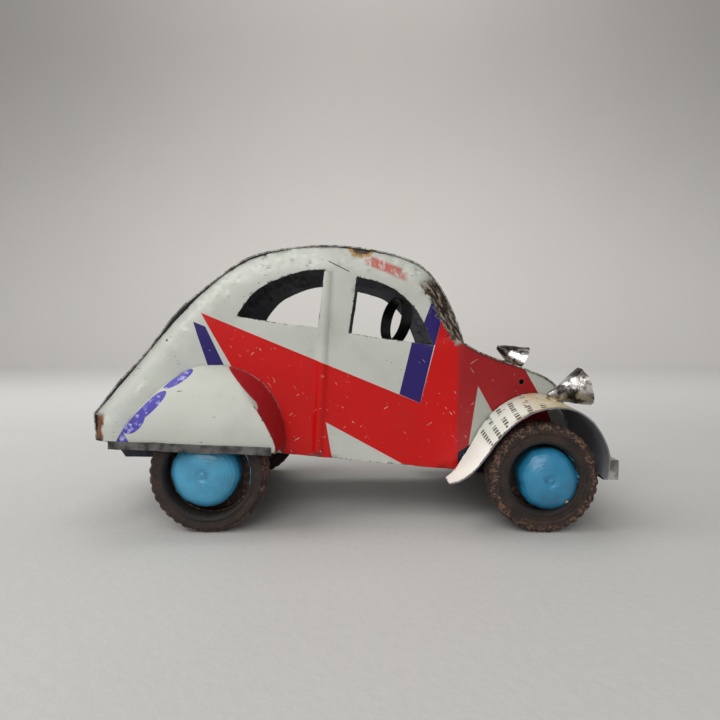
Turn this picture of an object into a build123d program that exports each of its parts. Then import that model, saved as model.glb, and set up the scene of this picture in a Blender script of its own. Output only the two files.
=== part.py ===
"""Push-along tin car, hand-cut from printed can sheet and soldered.

Frame: millimetres, +X forward, +Y to the car's left, +Z up. The origin is on the
ground, under the middle of the whole car.
"""

import math
import os

from build123d import *

# ---------------------------------------------------------------- driving sizes
# Sheet and fits
sheet = 0.4                 # thickness of the tin
seam = 0.03                 # solder film between two pieces that are joined
running_gap = 0.08          # radial clearance of an axle wire in its tube
beyond = 200.0              # reach of a cutter that goes right past the car

# Body shell
body_length = 144.5         # tail to nose
body_height = 57.1          # lowest body edge to roof
body_lift = 22.9            # underside of the tail above the ground
tail_x = -74.73             # rear end of the body
tail_lean = 0.6             # lower end of the tail ahead of its upper end
body_half_width = 23.5      # outer face of a side panel
nose_half_width = 13.0      # outer face of a hood side at the nose
shoulder_in = 2.6           # how far the folded roof shoulder leans inwards
shoulder_drop = 5.4         # height of the folded roof shoulder
roof_lip = 2.4              # soldering lip of a side panel under the roof strip
strip_overhang = 0.5        # how far roof and hood strips stand over their sides
pillar_rib_width = 3.0      # pressed rib down the door pillar
pillar_rib_height = 0.7
windscreen_border = 4.0     # metal left each side of the windscreen opening
windscreen_top = 1.0        # opening's top edge below the roof's front bend
windscreen_sill = 3.0       # metal left below the opening
windscreen_start = 2.0      # opening's top edge ahead of the roof's front bend
windscreen_end = 0.5        # and its foot behind the cowl
rear_window_half_width = 12.5
rear_window_foot = 5.5      # metal left under the rear window, along the body
rear_window_head = 0.5      # and over it
rear_window_cut = 30.0      # height of its cutter
rear_window_lift = 8.0      # cutter's middle above the strip's lower point
ear_half_width = 3.0        # lower end of the hood side's ear for the axle tube
ear_drop = 2.5              # ear's end below the axle tube
ear_front_run = 7.0         # ear's front slope starts this far ahead of the axle
pan_lift = 0.2              # floor pan above the lower edges of the side panels
pan_cowl_gap = 1.0          # from the pan's front fold to the cowl fold
pan_rise_run = 6.0          # the pan rises over the front axle within this run
pan_nose_gap = 2.5          # from the pan's front edge to the nose
nail_hole_radius = 0.8      # nail hole in each hood side

# Wheels and axles
front_axle_to_nose = 15.57  # front axle behind the body's front end
front_axle_x = tail_x + body_length - front_axle_to_nose
rear_axle_x = -37.3
front_tyre_radius = 15.0
rear_tyre_radius = 16.0
tyre_width = 8.5
tyre_to_body = 4.0          # from a side panel to the tyre beside it
tyre_inner_y = body_half_width + tyre_to_body
tyre_outer_y = tyre_inner_y + tyre_width
tyre_shoulder = 1.7         # rounding of the tyre's outer edges
front_bore_radius = 9.3
rear_bore_radius = 11.6
front_cap_gap = 0.12        # round the front caps, inside their dishes
rear_cap_radius = 9.6
rear_cap_offset = 1.1       # the right rear cap is soldered on off centre
cap_crown = 1.2             # how far a cap's crown stands out past the tyre
cap_dish = 3.4              # depth of a cap's dome
cap_seat_y = 0.6            # from the tyre's inner face to a cap's back edge
cap_dimple_radius = 1.4
cap_dimple_depth = 0.5
cap_middle_share = 0.62     # radius of the point that sets the dome's bulge
cap_middle_drop = 0.8       # that point behind the crown
cap_wall_taper = 0.15       # thinning of the skin towards the brim
dish_rim = 3.5              # width of a wheel dish's rim in the tyre's bore
axle_radius = 1.0
tube_wall = 0.5             # rolled tube that an axle turns in
tube_end_gap = 0.4          # end play between tube and wheel

# Rear axle tray under the floor
tray_drop = 0.1             # film between tray and axle tube
tray_to_side = 2.5          # tray's edge in from a side panel's outer face
tray_half_width = body_half_width - tray_to_side
tray_behind_axle = 32.0
tray_sill_gap = 0.5         # tray's front end behind the bend of the sills
tray_slope_run = 3.4        # run of the tray's sloping ends
tray_overrun = 4.0          # of the cutter that hollows the tray, along and up

# Fenders
fender_past_tyre = 1.6      # outer edge of a front fender past the tyre
fender_outer_y = tyre_outer_y + fender_past_tyre
front_fender_rise = 2.4     # inner edge of a front fender over its outer edge
front_fender_back = 1.2     # inner edge of a front fender behind its outer edge
fender_tip_width = 6.6      # width of the front fender's rear tip
fender_tip_run = 6.0        # length over which the tip widens to the full fender
fender_tip_slant = 0.2      # slant of the tip's cut end
fender_overlap = 1.0        # fender drawn inside the hood by this, then cut to it
skirt_past_tyre = 2.0       # outermost face of a rear fender skirt past the tyre
skirt_bulge_y = tyre_outer_y + skirt_past_tyre
trim_height = 2.1
trim_thickness = 0.5
trim_below = 0.6            # trim strip's lower edge below the skirt's
trim_rear_overrun = 0.5     # trim strip past the skirt's rear fold
trim_front_gap = 0.8        # and short of its front fold

# Headlamps
lamp_in = 0.5               # a lamp's middle in from the tyre's inner face
lamp_y = tyre_inner_y - lamp_in
lamp_mouth_radius = 5.7
lamp_tip_radius = 0.8
lamp_length = 10.8
lamp_disc_set_back = 1.0
lamp_inner_tip_radius = 0.2
lamp_stem_radius = 0.7
lamp_ahead = 3.7            # lamp's tip ahead of the axle
right_lamp_z = 36.4         # height of the right lamp's tip
right_lamp_tilt = -15.8     # it points up
left_lamp_z = 50.2
left_lamp_tilt = 29.0       # it points down
left_lamp_back = 0.4        # left lamp's tip behind the right one's
solder_radius = 2.2
solder_ahead = 1.4          # blob's middle ahead of the right lamp's tip
solder_drop = 1.8           # and below it
stem_ahead = 1.9            # stem's foot ahead of the lamps' tips
stem_length = 18.0          # stem's foot below the left lamp's tip
stem_grip = (5.0, -3.2)     # its upper end, along the cone and off its axis

# Bumper
bumper_half_width = 34.0
bumper_depth = 4.0
bumper_gap = 1.85           # from the front tyres' tread to the bumper
bumper_bottom = 14.2
bumper_height = 5.4


# Cabin
wheel_ring_radius = 8.0
wheel_ring_band = 4.0
wheel_ring_y = 9.0
ring_yaw = 23.0             # the ring is turned and raked by hand
ring_rake = -78.0
column_radius = 0.6
dash_depth = 7.0
dash_drop = 2.0             # front edge of the dash shelf below the cowl
dash_slope = 1.0            # its rear fold below its front edge
dash_lip = 3.0              # folded rear edge
dash_gap = 0.8              # front edge behind the cowl
column_start = 1.5          # column's foot ahead of the shelf's rear fold
column_lift = 1.2           # and above the shelf
column_lean = 2.0           # foot further to the left than the ring's middle

# ------------------------------------------------- outlines seen from the side
# Shares of body_length from the tail, and of body_height above body_lift.
roof_shares = [
    (0.000, 0.135),
    (0.086, 0.385),
    (0.191, 0.683),
    (0.317, 0.930),
    (0.440, 1.000),
    (0.580, 0.975),
    (0.672, 0.895),
    (0.728, 0.700),
]
cowl_share = (0.757, 0.500)
cowl_foot_share = (0.734, -0.147)
sill_share = (0.383, -0.063)
hood_shares = [
    cowl_share,
    (0.837, 0.408),
    (0.919, 0.338),
    (0.962, 0.272),
    (0.978, 0.205),
]
nose_foot_share = (1.000, -0.045)
rear_window_shares = [
    (0.297, 0.641),
    (0.314, 0.711),
    (0.345, 0.786),
    (0.385, 0.836),
    (0.433, 0.872),
    (0.475, 0.875),
]
rear_window_sill_shares = [(0.461, 0.583), (0.385, 0.606)]
front_window_shares = [
    (0.540, 0.842),
    (0.572, 0.824),
    (0.606, 0.793),
    (0.647, 0.712),
    (0.682, 0.571),
    (0.692, 0.496),
]
front_window_sill_shares = [(0.607, 0.522), (0.523, 0.556)]
rib_top_share = (0.480, 0.868)
rib_foot_share = (0.459, -0.060)
nail_hole_share = (0.885, 0.298)
# Tab of the flank that runs up beside the windscreen's foot.
tab_shares = [
    (0.741, 0.054),
    (0.721, 0.054),
    (0.701, 0.440),
    (0.712, 0.520),
    (0.732, 0.545),
]

# Front fender: angle round the front axle, and gap over the tyre's tread.
arch_polar = [
    (182.4, 11.0),
    (172.8, 4.4),
    (160.2, 2.4),
    (137.0, 1.8),
    (108.3, 2.8),
    (86.7, 4.2),
    (69.1, 5.0),
    (49.7, 4.3),
    (21.2, 2.5),
    (1.1, 0.8),
]

# Rear skirt sections, as shares of the height from its foot to its top: rear end,
# rear fold, front fold and front end from the rear axle, and share of its bulge.
skirt_top_z = 45.3
skirt_cut_z = 20.0
skirt_foot_rear_z = 24.6    # lower edge of the skirt, at its rear end
skirt_foot_front_z = 22.3   # and at its front end
skirt_sections = [
    (0.00, -31.4, -24.9, 18.6, 19.4, 1.00),
    (0.32, -27.1, -22.2, 17.2, 19.3, 0.95),
    (0.59, -21.2, -17.1, 12.3, 16.9, 0.77),
    (0.83, -13.9, -11.4, 7.3, 12.0, 0.46),
    (1.00, -5.2, -4.2, 0.9, 1.9, 0.07),
]


# --------------------------------------------------------------------- helpers
def spot(share):
    """Point (x, z) for a share of the body's length and height."""
    return (tail_x + share[0] * body_length, body_lift + share[1] * body_height)


def spots(shares):
    """Points (x, z) for a list of shares."""
    return [spot(share) for share in shares]


def shifted(points, distance):
    """Points moved sideways, to the left of the way they run."""
    moved = []
    for index, (x, z) in enumerate(points):
        before = points[max(index - 1, 0)]
        after = points[min(index + 1, len(points) - 1)]
        run = Vector(after[0] - before[0], after[1] - before[1]).normalized()
        moved.append((x - run.Y * distance, z + run.X * distance))
    return moved


def side_plate(face, half_width):
    """Solid from a face drawn in X and Z, as wide each way as half_width."""
    return extrude(Plane.XZ.offset(-half_width) * face, amount=2 * half_width)


def bent_strip(points, lift, thickness, half_width):
    """Strip of sheet that follows points seen from the side."""
    low = Spline(*shifted(points, lift))
    high = Spline(*shifted(points, lift + thickness))
    ends = [Line(low @ 1, high @ 1), Line(high @ 0, low @ 0)]
    return side_plate(make_face([low, high] + ends), half_width)


def folded_strip(points, lift, thickness, half_width):
    """Strip of sheet with sharp folds at points seen from the side."""
    outline = shifted(points, lift) + list(reversed(shifted(points, lift + thickness)))
    return side_plate(make_face(Polyline(*outline, close=True)), half_width)


def plan_prism(points, low=-20.0, high=120.0):
    """Upright solid on a plan outline, open ended for cutting other solids."""
    face = make_face(Polyline(*points, close=True))
    return extrude(Plane.XY.offset(low) * face, amount=high - low)


def body_prism(grow):
    """Body of this plan, raked like the cowl fold, for cutting other solids."""
    foot = spot(cowl_foot_share)
    head = spot(cowl_share)
    rake = (head[0] - foot[0], 0, head[1] - foot[1])
    plan = Plane.XY.offset(foot[1]) * make_face(Polyline(*body_plan(grow), close=True))
    up = extrude(plan, amount=2 * rake[2], dir=rake)
    return up + extrude(plan, amount=rake[2], dir=(-rake[0], 0, -rake[2]))


def mirrored(solid):
    """The same solid on the car's left side."""
    return mirror(solid, about=Plane.XZ)


def rod(start, end, radius):
    """Round rod between two points."""
    axis = Vector(*end) - Vector(*start)
    plane = Plane(origin=start, z_dir=axis)
    return extrude(plane * Circle(radius), amount=axis.length)


def hood_half_width(x):
    """Outer half width of the hood at x, ahead of the cowl fold."""
    start = spot(cowl_foot_share)[0]
    end = spot(nose_foot_share)[0]
    share = (x - start) / (end - start)
    return body_half_width + share * (nose_half_width - body_half_width)


def body_plan(grow):
    """Plan outline of the body, grown sideways by grow and long enough to cut with."""
    tail = tail_x - 20.0
    fold = spot(cowl_foot_share)[0]
    nose = spot(nose_foot_share)[0] + 20.0
    cabin = body_half_width + grow
    tip = hood_half_width(nose) + grow
    return [(tail, -cabin), (fold, -cabin), (nose, -tip), (nose, tip), (fold, cabin), (tail, cabin)]


# ------------------------------------------------------------------ body shell
roof_points = spots(roof_shares) + [spot(cowl_share)]
tail_foot = (roof_points[0][0] + tail_lean, body_lift)
sill_point = spot(sill_share)
cowl_foot = spot(cowl_foot_share)
nose_foot = spot(nose_foot_share)
hood_points = spots(hood_shares)
body_nose_x = nose_foot[0]


def cabin_block(inset, overrun):
    """Solid cabin: the side outline with its folded shoulders, inset from the skin.

    overrun lowers and lengthens the open sides, so that an inset block cuts them open.
    """
    crown = Spline(*shifted(roof_points, -inset))
    rear = (tail_foot[0] + inset, tail_foot[1] - overrun)
    middle = (sill_point[0], sill_point[1] - overrun)
    foot = (cowl_foot[0] + overrun, cowl_foot[1] - overrun)
    top = (spot(cowl_share)[0] + overrun, spot(cowl_share)[1] - inset)
    corners = [top, foot, middle, rear] if overrun else [foot, middle, rear]
    rest = Polyline(crown @ 1, *corners, crown @ 0)
    block = side_plate(make_face([crown, rest]), body_half_width - inset)
    roof = block.faces().filter_by(GeomType.EXTRUSION)[0]
    edges = roof.edges().filter_by(GeomType.BSPLINE)
    return chamfer(edges, length=shoulder_in, length2=shoulder_drop, reference=roof)


def body_shell():
    """Folded tin skin of the cabin, open underneath, at the front and inside."""
    hollow = cabin_block(sheet, 8.0)
    return cabin_block(0.0, 0.0) - hollow


def window_cutter(arch_shares, sill_shares):
    """Cutter for one pair of side windows, right through the body."""
    arch = Spline(*spots(arch_shares))
    sill = Polyline(arch @ 1, *spots(sill_shares), arch @ 0)
    return side_plate(make_face([arch, sill]), 2 * body_half_width)


def hood_side():
    """Right hood side: one plane from the cowl fold to the nose, with the axle's ear."""
    fold = Vector(*cowl_foot)
    rake = spot(cowl_share)[0] - cowl_foot[0]
    rise = spot(cowl_share)[1] - cowl_foot[1]
    skin = sheet / math.cos(math.atan2(body_half_width - nose_half_width, body_nose_x - fold.X))
    reach = body_nose_x + 10.0
    corners = [
        (fold.X, -body_half_width),
        (reach, -hood_half_width(reach)),
        (reach, -hood_half_width(reach) + skin),
        (fold.X, -body_half_width + sheet),
    ]
    plate = make_face(Polyline(*corners, close=True))
    wall = extrude(Plane.XY.offset(fold.Y) * plate, amount=2 * rise, dir=(rake, 0, rise))
    low_wall = extrude(Plane.XY.offset(fold.Y) * plate, amount=rise, dir=(-rake, 0, -rise))
    crown = Spline(*hood_points)
    ear = (front_axle_x, front_tyre_radius - tube_radius - ear_drop)
    rest = Polyline(
        crown @ 1,
        nose_foot,
        (front_axle_x + ear_front_run, nose_foot[1]),
        (ear[0] + ear_half_width, ear[1]),
        (ear[0] - ear_half_width, ear[1]),
        cowl_foot,
        crown @ 0,
    )
    return (wall + low_wall) & side_plate(make_face([crown, rest]), body_half_width)


def right_of(y):
    """Block of all space to the right of y."""
    return Pos(0, y - beyond, 0) * Box(2 * beyond, 2 * beyond, 2 * beyond)


def screen_tab():
    """Flat tab of the right flank between the windscreen's foot and the cowl fold."""
    outline = Polyline(spot(cowl_share), *spots(tab_shares), close=True)
    return side_plate(make_face(outline), body_half_width) & right_of(-body_half_width + sheet)


def side_panel():
    """Right side panel: cabin flank, roof shoulder with its lip, and hood side."""
    right_half = right_of(shoulder_in + roof_lip - body_half_width)
    panel = (body_shell() & right_half) + hood_side() + screen_tab()
    corner = folded_strip([cowl_foot, spot(cowl_share)], 0.0, sheet, body_half_width)
    panel += (corner & right_half) - cabin_block(0.0, 0.0)
    top = spot(rib_top_share)
    foot = spot(rib_foot_share)
    rib_radius = pillar_rib_height / 2 + pillar_rib_width**2 / (8 * pillar_rib_height)
    rib_y = -body_half_width - pillar_rib_height + rib_radius
    rib = rod((top[0], rib_y, top[1]), (foot[0], rib_y, foot[1]), rib_radius)
    panel += rib & right_of(-body_half_width + sheet / 2)
    panel -= window_cutter(rear_window_shares, rear_window_sill_shares)
    panel -= window_cutter(front_window_shares, front_window_sill_shares)
    hole_x, hole_z = spot(nail_hole_share)
    panel -= rod((hole_x, -beyond, hole_z), (hole_x, 0, hole_z), nail_hole_radius)
    return panel - axle_hole(front_axle_x, front_tyre_radius)


# -------------------------------------------------------------- roof and hood
def strip_plan(ends):
    """Solid that trims a hood strip to the plan of the hood and its overhang."""
    length = ends[1] - ends[0]
    slab = Pos(sum(ends) / 2, 0, 0) * Box(length, 2 * beyond, 2 * beyond)
    return body_prism(strip_overhang) & slab


def roof_strip():
    """Strip from the tail's foot over the roof to the windscreen's foot, with openings."""
    half_width = body_half_width - shoulder_in + strip_overhang
    low = Spline(*shifted(roof_points, seam))
    high = Spline(*shifted(roof_points, seam + sheet))
    inner_foot = (tail_foot[0] - seam, tail_foot[1])
    outer_foot = (inner_foot[0] - sheet, tail_foot[1])
    tail = Polyline(low @ 0, inner_foot, outer_foot, high @ 0)
    strip = side_plate(make_face([low, Line(low @ 1, high @ 1), high, tail]), half_width)
    screen_top = roof_points[-3]
    screen_foot = roof_points[-1]
    screen = Box(
        screen_foot[0] - screen_top[0] - windscreen_start - windscreen_end,
        2 * (half_width - windscreen_border),
        screen_top[1] - screen_foot[1] - windscreen_top - windscreen_sill,
        align=(Align.MIN, Align.CENTER, Align.MAX),
    )
    strip -= Pos(screen_top[0] + windscreen_start, 0, screen_top[1] - windscreen_top) * screen
    window_foot = roof_points[1]
    window_top = roof_points[2]
    window = Box(
        window_top[0] - window_foot[0] - rear_window_foot - rear_window_head,
        2 * rear_window_half_width,
        rear_window_cut,
        align=(Align.MIN, Align.CENTER, Align.CENTER),
    )
    window_place = (window_foot[0] + rear_window_foot, 0, window_foot[1] + rear_window_lift)
    return strip - Pos(*window_place) * window


def hood_strip():
    """Strip over the hood, from the windscreen's foot to the top of the nose."""
    strip = bent_strip(hood_points, seam, sheet, 2 * body_half_width)
    first = hood_points[0][0] + sheet + 2 * seam
    return strip & strip_plan((first, beyond))


def nose_panel():
    """Plate that closes the front of the hood, below the hood strip."""
    points = [hood_points[-1], nose_foot]
    plate = folded_strip(points, seam, sheet, 2 * body_half_width)
    below = hood_points[-1][1] - seam
    low_half = Pos(0, 0, below - beyond) * Box(2 * beyond, 2 * beyond, 2 * beyond)
    return plate & strip_plan((0.0, beyond)) & low_half


# ------------------------------------------------------------- floor and cabin
def floor_points():
    """Fold line of the floor pan: along the sills, then up under the hood."""
    over_axle = front_tyre_radius + tube_radius + seam
    rear = (tail_foot[0] + sheet + seam, tail_foot[1] + pan_lift)
    middle = (sill_point[0], sill_point[1] + pan_lift)
    foot = (cowl_foot[0] - pan_cowl_gap, cowl_foot[1] + pan_lift)
    step = (cowl_foot[0] + pan_rise_run, over_axle)
    front = (body_nose_x - pan_nose_gap, over_axle)
    return [rear, middle, foot, step, front]


def floor_pan():
    """Bent floor between the side panels."""
    pan = folded_strip(floor_points(), 0.0, sheet, body_half_width)
    return pan & body_prism(-sheet - 3 * seam)


def dash_panel():
    """Shelf across the cabin at the windscreen's foot, with a folded rear edge."""
    foot = spot(cowl_share)
    fold_z = foot[1] - dash_drop - dash_slope
    points = [
        (foot[0] - dash_depth, fold_z - dash_lip),
        (foot[0] - dash_depth, fold_z),
        (foot[0] - dash_gap, foot[1] - dash_drop),
    ]
    shelf = folded_strip(points, 0.0, sheet, body_half_width)
    return shelf & body_prism(-sheet - seam)


ring_center = (spot((0.634, 0))[0], wheel_ring_y, spot((0, 0.640))[1])
ring_pose = Pos(*ring_center) * Rot(0, 0, ring_yaw) * Rot(0, ring_rake, 0)


def steering_wheel():
    """Ring rolled from a flat strip."""
    ring = Cylinder(wheel_ring_radius, wheel_ring_band)
    ring -= Cylinder(wheel_ring_radius - sheet, 2 * wheel_ring_band)
    return ring_pose * ring


def steering_column():
    """Wire from the dash shelf up to the ring, soldered inside its lower edge."""
    foot = spot(cowl_share)
    shelf_top = foot[1] - dash_drop - dash_slope + sheet
    start_x = foot[0] - dash_depth + column_start
    start = (start_x, wheel_ring_y + column_lean, shelf_top + column_lift)
    reach = ring_pose * Pos(-wheel_ring_radius + sheet + column_radius, 0, 0)
    end = reach.position
    return rod(start, (end.X, end.Y, end.Z), column_radius) - steering_wheel()


# ----------------------------------------------------------- axles and bearings
tube_bore = axle_radius + running_gap
tube_radius = tube_bore + tube_wall
tube_half_length = tyre_inner_y + cap_seat_y - tube_end_gap


def axle_hole(axle_x, axle_z):
    """Cutter for an axle tube's holes."""
    return rod((axle_x, -beyond, axle_z), (axle_x, beyond, axle_z), tube_radius + seam)


def axle_tube(axle_x, axle_z):
    """Rolled tube that an axle wire turns in."""
    start = (axle_x, -tube_half_length, axle_z)
    end = (axle_x, tube_half_length, axle_z)
    return rod(start, end, tube_radius) - rod(start, end, tube_bore)


def rear_tray():
    """Shallow folded tray under the floor that carries the rear axle tube."""
    tray_rear_x = rear_axle_x - tray_behind_axle
    front_x = sill_point[0] - tray_sill_gap
    tray_front_x = front_x - tray_slope_run
    base_z = rear_tyre_radius + tube_radius + tray_drop
    rear_top = line_height(floor_points()[:2], tray_rear_x) - seam
    front_top = line_height(floor_points()[:2], front_x) - seam
    outline = [
        (tray_rear_x, rear_top),
        (tray_rear_x + tray_slope_run, base_z),
        (tray_front_x, base_z),
        (front_x, front_top),
    ]
    block = side_plate(make_face(Polyline(*outline, close=True)), tray_half_width)
    hollow_outline = [
        (tray_rear_x - tray_overrun, rear_top + 2 * tray_overrun),
        (tray_rear_x + tray_slope_run + sheet, base_z + sheet),
        (tray_front_x - sheet, base_z + sheet),
        (front_x + tray_overrun, front_top + 2 * tray_overrun),
    ]
    hollow = side_plate(make_face(Polyline(*hollow_outline, close=True)), tray_half_width - sheet)
    return block - hollow


def line_height(points, x):
    """Height at x of the line through two points."""
    (x0, z0), (x1, z1) = points
    return z0 + (z1 - z0) * (x - x0) / (x1 - x0)


# ---------------------------------------------------------------------- wheels
front_cap_radius = front_bore_radius - seam - sheet - front_cap_gap


def turned(profile, axle_x, axle_z):
    """Solid turned about the right end of an axle, from a profile of (radius, y)."""
    face = Plane.XY * make_face(profile)
    solid = revolve(face, axis=Axis.Y)
    return Pos(axle_x, 0, axle_z) * solid


def tyre(axle_x, radius, bore):
    """Rubber ring with rounded outer edges."""
    inner = -tyre_inner_y
    outer = -tyre_inner_y - tyre_width
    corners = Polyline((bore, inner), (radius, inner), (radius, outer), (bore, outer), close=True)
    face = make_face(corners)
    rounded = [corner for corner in face.vertices() if corner.X > (bore + radius) / 2]
    face = fillet(rounded, tyre_shoulder)
    return Pos(axle_x, 0, radius) * revolve(face, axis=Axis.Y)


def wheel_dish(axle_x, radius, bore):
    """Tin dish in the tyre's bore, soldered to the axle wire."""
    rim = bore - seam
    back = -tyre_inner_y - cap_seat_y + sheet
    front = back - dish_rim
    hole = axle_radius + seam
    profile = Polyline(
        (hole, back),
        (rim, back),
        (rim, front),
        (rim - sheet, front),
        (rim - sheet, back - sheet),
        (hole, back - sheet),
        close=True,
    )
    return turned(profile, axle_x, radius)


def hub_cap(axle_x, radius, cap_radius, offset):
    """Domed tin cap with a dimple, standing on the wheel dish."""
    back = -tyre_inner_y - cap_seat_y - seam
    crown = -tyre_inner_y - tyre_width - cap_crown
    brim = (cap_radius, crown + cap_dish)
    brim_inside = (cap_radius - sheet, crown + cap_dish + cap_wall_taper)
    middle_radius = cap_middle_share * cap_radius
    middle = (middle_radius, crown + cap_middle_drop)
    middle_inside = (middle_radius - cap_wall_taper, crown + cap_middle_drop + sheet)
    edge = (cap_dimple_radius, crown)
    edge_inside = (cap_dimple_radius, crown + sheet)
    pit = (0.0, crown + cap_dimple_depth)
    pit_inside = (0.0, crown + cap_dimple_depth + sheet)
    skin = [
        Line((cap_radius, back), brim),
        Spline(brim, middle, edge),
        Line(edge, pit),
        Line(pit, pit_inside),
        Line(pit_inside, edge_inside),
        Spline(edge_inside, middle_inside, brim_inside),
        Line(brim_inside, (cap_radius - sheet, back)),
        Line((cap_radius - sheet, back), (cap_radius, back)),
    ]
    return Pos(offset, 0, 0) * turned(skin, axle_x, radius)


def axle_wire(axle_x, radius):
    """Steel wire from cap to cap."""
    end = tyre_outer_y + cap_crown - cap_dimple_depth - sheet - 3 * seam
    return rod((axle_x, -end, radius), (axle_x, end, radius), axle_radius)


# --------------------------------------------------------------------- fenders
def arch_points():
    """Outer edge of a front fender, from its rear tip round to its front end."""
    points = []
    for angle, gap in arch_polar:
        reach = front_tyre_radius + gap
        turn = math.radians(angle)
        points.append(
            (front_axle_x + reach * math.cos(turn), front_tyre_radius + reach * math.sin(turn))
        )
    return points


def fender_inner_points():
    """Inner edge of a front fender, which leaves the outer edge's height past the tip."""
    points = []
    for index, (x, z) in enumerate(arch_points()):
        share = min(1.0, index / 3)
        points.append((x - share * front_fender_back, z + share * front_fender_rise))
    return points


def strip_section(points, y):
    """Cross section of a bent strip, standing at y."""
    low = Spline(*points)
    high = Spline(*shifted(points, sheet))
    face = make_face([low, high, Line(low @ 1, high @ 1), Line(high @ 0, low @ 0)])
    return Plane.XZ.offset(-y) * face


def front_fender():
    """Right front fender: a strip bent over the wheel, higher at the hood than outside."""
    outer_points = arch_points()
    inner_y = nose_half_width - fender_overlap
    inner_points = fender_inner_points()
    sections = [
        strip_section(outer_points, -fender_outer_y),
        strip_section(inner_points, -inner_y),
    ]
    fender = loft(sections, ruled=True)
    fender -= body_prism(strip_overhang + seam)
    tip_x = outer_points[0][0]
    tip_y = -fender_outer_y + fender_tip_width
    slant = [
        (tip_x - fender_tip_run, tip_y),
        (tip_x + fender_tip_slant, tip_y),
        (tip_x + fender_tip_run, -body_half_width),
        (tip_x + fender_tip_run, 0.0),
        (tip_x - fender_tip_run, 0.0),
    ]
    return fender - plan_prism(slant)


def skirt_section(share, inset):
    """Plan section of a rear skirt at a share of its height, inset from the skin."""
    height, rear, rear_fold, front_fold, front, bulge = share
    z = skirt_cut_z + height * (skirt_top_z - skirt_cut_z) - (inset if height > 0.5 else 0.0)
    back = -body_half_width - seam + 4.0 * inset
    depth = -body_half_width - max(bulge * (skirt_bulge_y - body_half_width) - inset, 0.3)
    corners = [
        (rear_axle_x + rear + 1.5 * inset, back),
        (rear_axle_x + rear_fold + 0.5 * inset, depth),
        (rear_axle_x + front_fold - 0.5 * inset, depth),
        (rear_axle_x + front - 1.2 * inset, back),
    ]
    return Plane.XY.offset(z) * make_face(Polyline(*corners, close=True))


def skirt_block(inset):
    """Solid skirt, from its top down past its foot."""
    return loft([skirt_section(share, inset) for share in skirt_sections])


def skirt_foot_cutter(lift, height):
    """Slab along the skirt's slanting foot, lifted from it, to cut or keep a band."""
    rear_x = rear_axle_x - beyond
    front_x = rear_axle_x + beyond
    rear = (rear_x, skirt_foot_height(rear_x) + lift)
    front = (front_x, skirt_foot_height(front_x) + lift)
    outline = [rear, front, (front[0], front[1] + height), (rear[0], rear[1] + height)]
    return side_plate(make_face(Polyline(*outline, close=True)), beyond)


def skirt_foot_height(x):
    """Height of the skirt's foot at x."""
    first = skirt_sections[0]
    ends = [
        (rear_axle_x + first[1], skirt_foot_rear_z),
        (rear_axle_x + first[4], skirt_foot_front_z),
    ]
    return line_height(ends, x)


def rear_skirt():
    """Right rear fender skirt, a folded dome over the wheel."""
    skirt = skirt_block(0.0) - skirt_block(sheet)
    return skirt - skirt_foot_cutter(-beyond, beyond)


def skirt_trim():
    """Plain tin strip along the foot of the right rear skirt."""
    rear_fold, front_fold = skirt_sections[0][2:4]
    face_y = -skirt_bulge_y - seam
    rear_end = (rear_axle_x + rear_fold - trim_rear_overrun, face_y)
    run = [rear_end, (rear_axle_x + front_fold - trim_front_gap, face_y)]
    outline = run + list(reversed(shifted(run, -trim_thickness)))
    strip = plan_prism(outline) & skirt_foot_cutter(-trim_below, trim_height)
    return strip - skirt_block(0.0)


# --------------------------------------------------------- headlamps and bumper
def lamp_profile(radius_tip, radius_mouth):
    """Half section of a lamp cone along +X, from its tip at x = 0."""
    return Polyline(
        (0, 0), (0, radius_tip), (lamp_length, radius_mouth), (lamp_length, 0), close=True
    )


def lamp_cone():
    """Rolled tin cone, open at its mouth."""
    outer = revolve(make_face(lamp_profile(lamp_tip_radius, lamp_mouth_radius)), axis=Axis.X)
    inner_face = make_face(lamp_profile(lamp_inner_tip_radius, lamp_mouth_radius - sheet))
    return outer - Pos(sheet, 0, 0) * revolve(inner_face, axis=Axis.X)


def lamp_disc():
    """Tin disc that closes the cone a little way in."""
    slope = (lamp_mouth_radius - sheet - lamp_inner_tip_radius) / lamp_length
    back_x = lamp_length - lamp_disc_set_back - sheet
    radius = lamp_inner_tip_radius + slope * (back_x - sheet) - seam
    return Pos(back_x, 0, 0) * Rot(0, 90, 0) * extrude(Circle(radius), amount=sheet)


# The right lamp lies on its fender; the left one is bent up and points down.
lamp_tip_x = front_axle_x + lamp_ahead
right_lamp = Pos(lamp_tip_x, -lamp_y, right_lamp_z) * Rot(0, right_lamp_tilt, 0)
left_lamp = Pos(lamp_tip_x - left_lamp_back, lamp_y, left_lamp_z) * Rot(0, left_lamp_tilt, 0)


def lamp_solder():
    """Blob of solder between the right lamp's cone and its fender."""
    place = Pos(lamp_tip_x + solder_ahead, -lamp_y, right_lamp_z - solder_drop)
    blob = place * Sphere(solder_radius)
    return blob - front_fender() - right_lamp * lamp_cone_block() - fender_under()


def lamp_cone_block():
    """Lamp cone without its hollow, for cutting what it sits in."""
    return revolve(make_face(lamp_profile(lamp_tip_radius, lamp_mouth_radius)), axis=Axis.X)


def fender_under():
    """Space below the right front fender."""
    points = [(x - front_fender_back / 2, z + front_fender_rise / 2) for x, z in arch_points()]
    face = make_face([Spline(*points), Line(points[-1], points[0])])
    return side_plate(face, beyond)


def lamp_stem():
    """Bent wire that holds the left lamp up from its fender."""
    top = left_lamp * Pos(stem_grip[0], 0, stem_grip[1])
    upper = (top.position.X, lamp_y, top.position.Z)
    foot = (lamp_tip_x + stem_ahead, lamp_y, left_lamp_z - stem_length)
    wire = rod(foot, upper, lamp_stem_radius)
    return wire - mirrored(front_fender()) - left_lamp * lamp_cone_block() - fender_under()


bumper_back_x = front_axle_x + front_tyre_radius + bumper_gap


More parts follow.
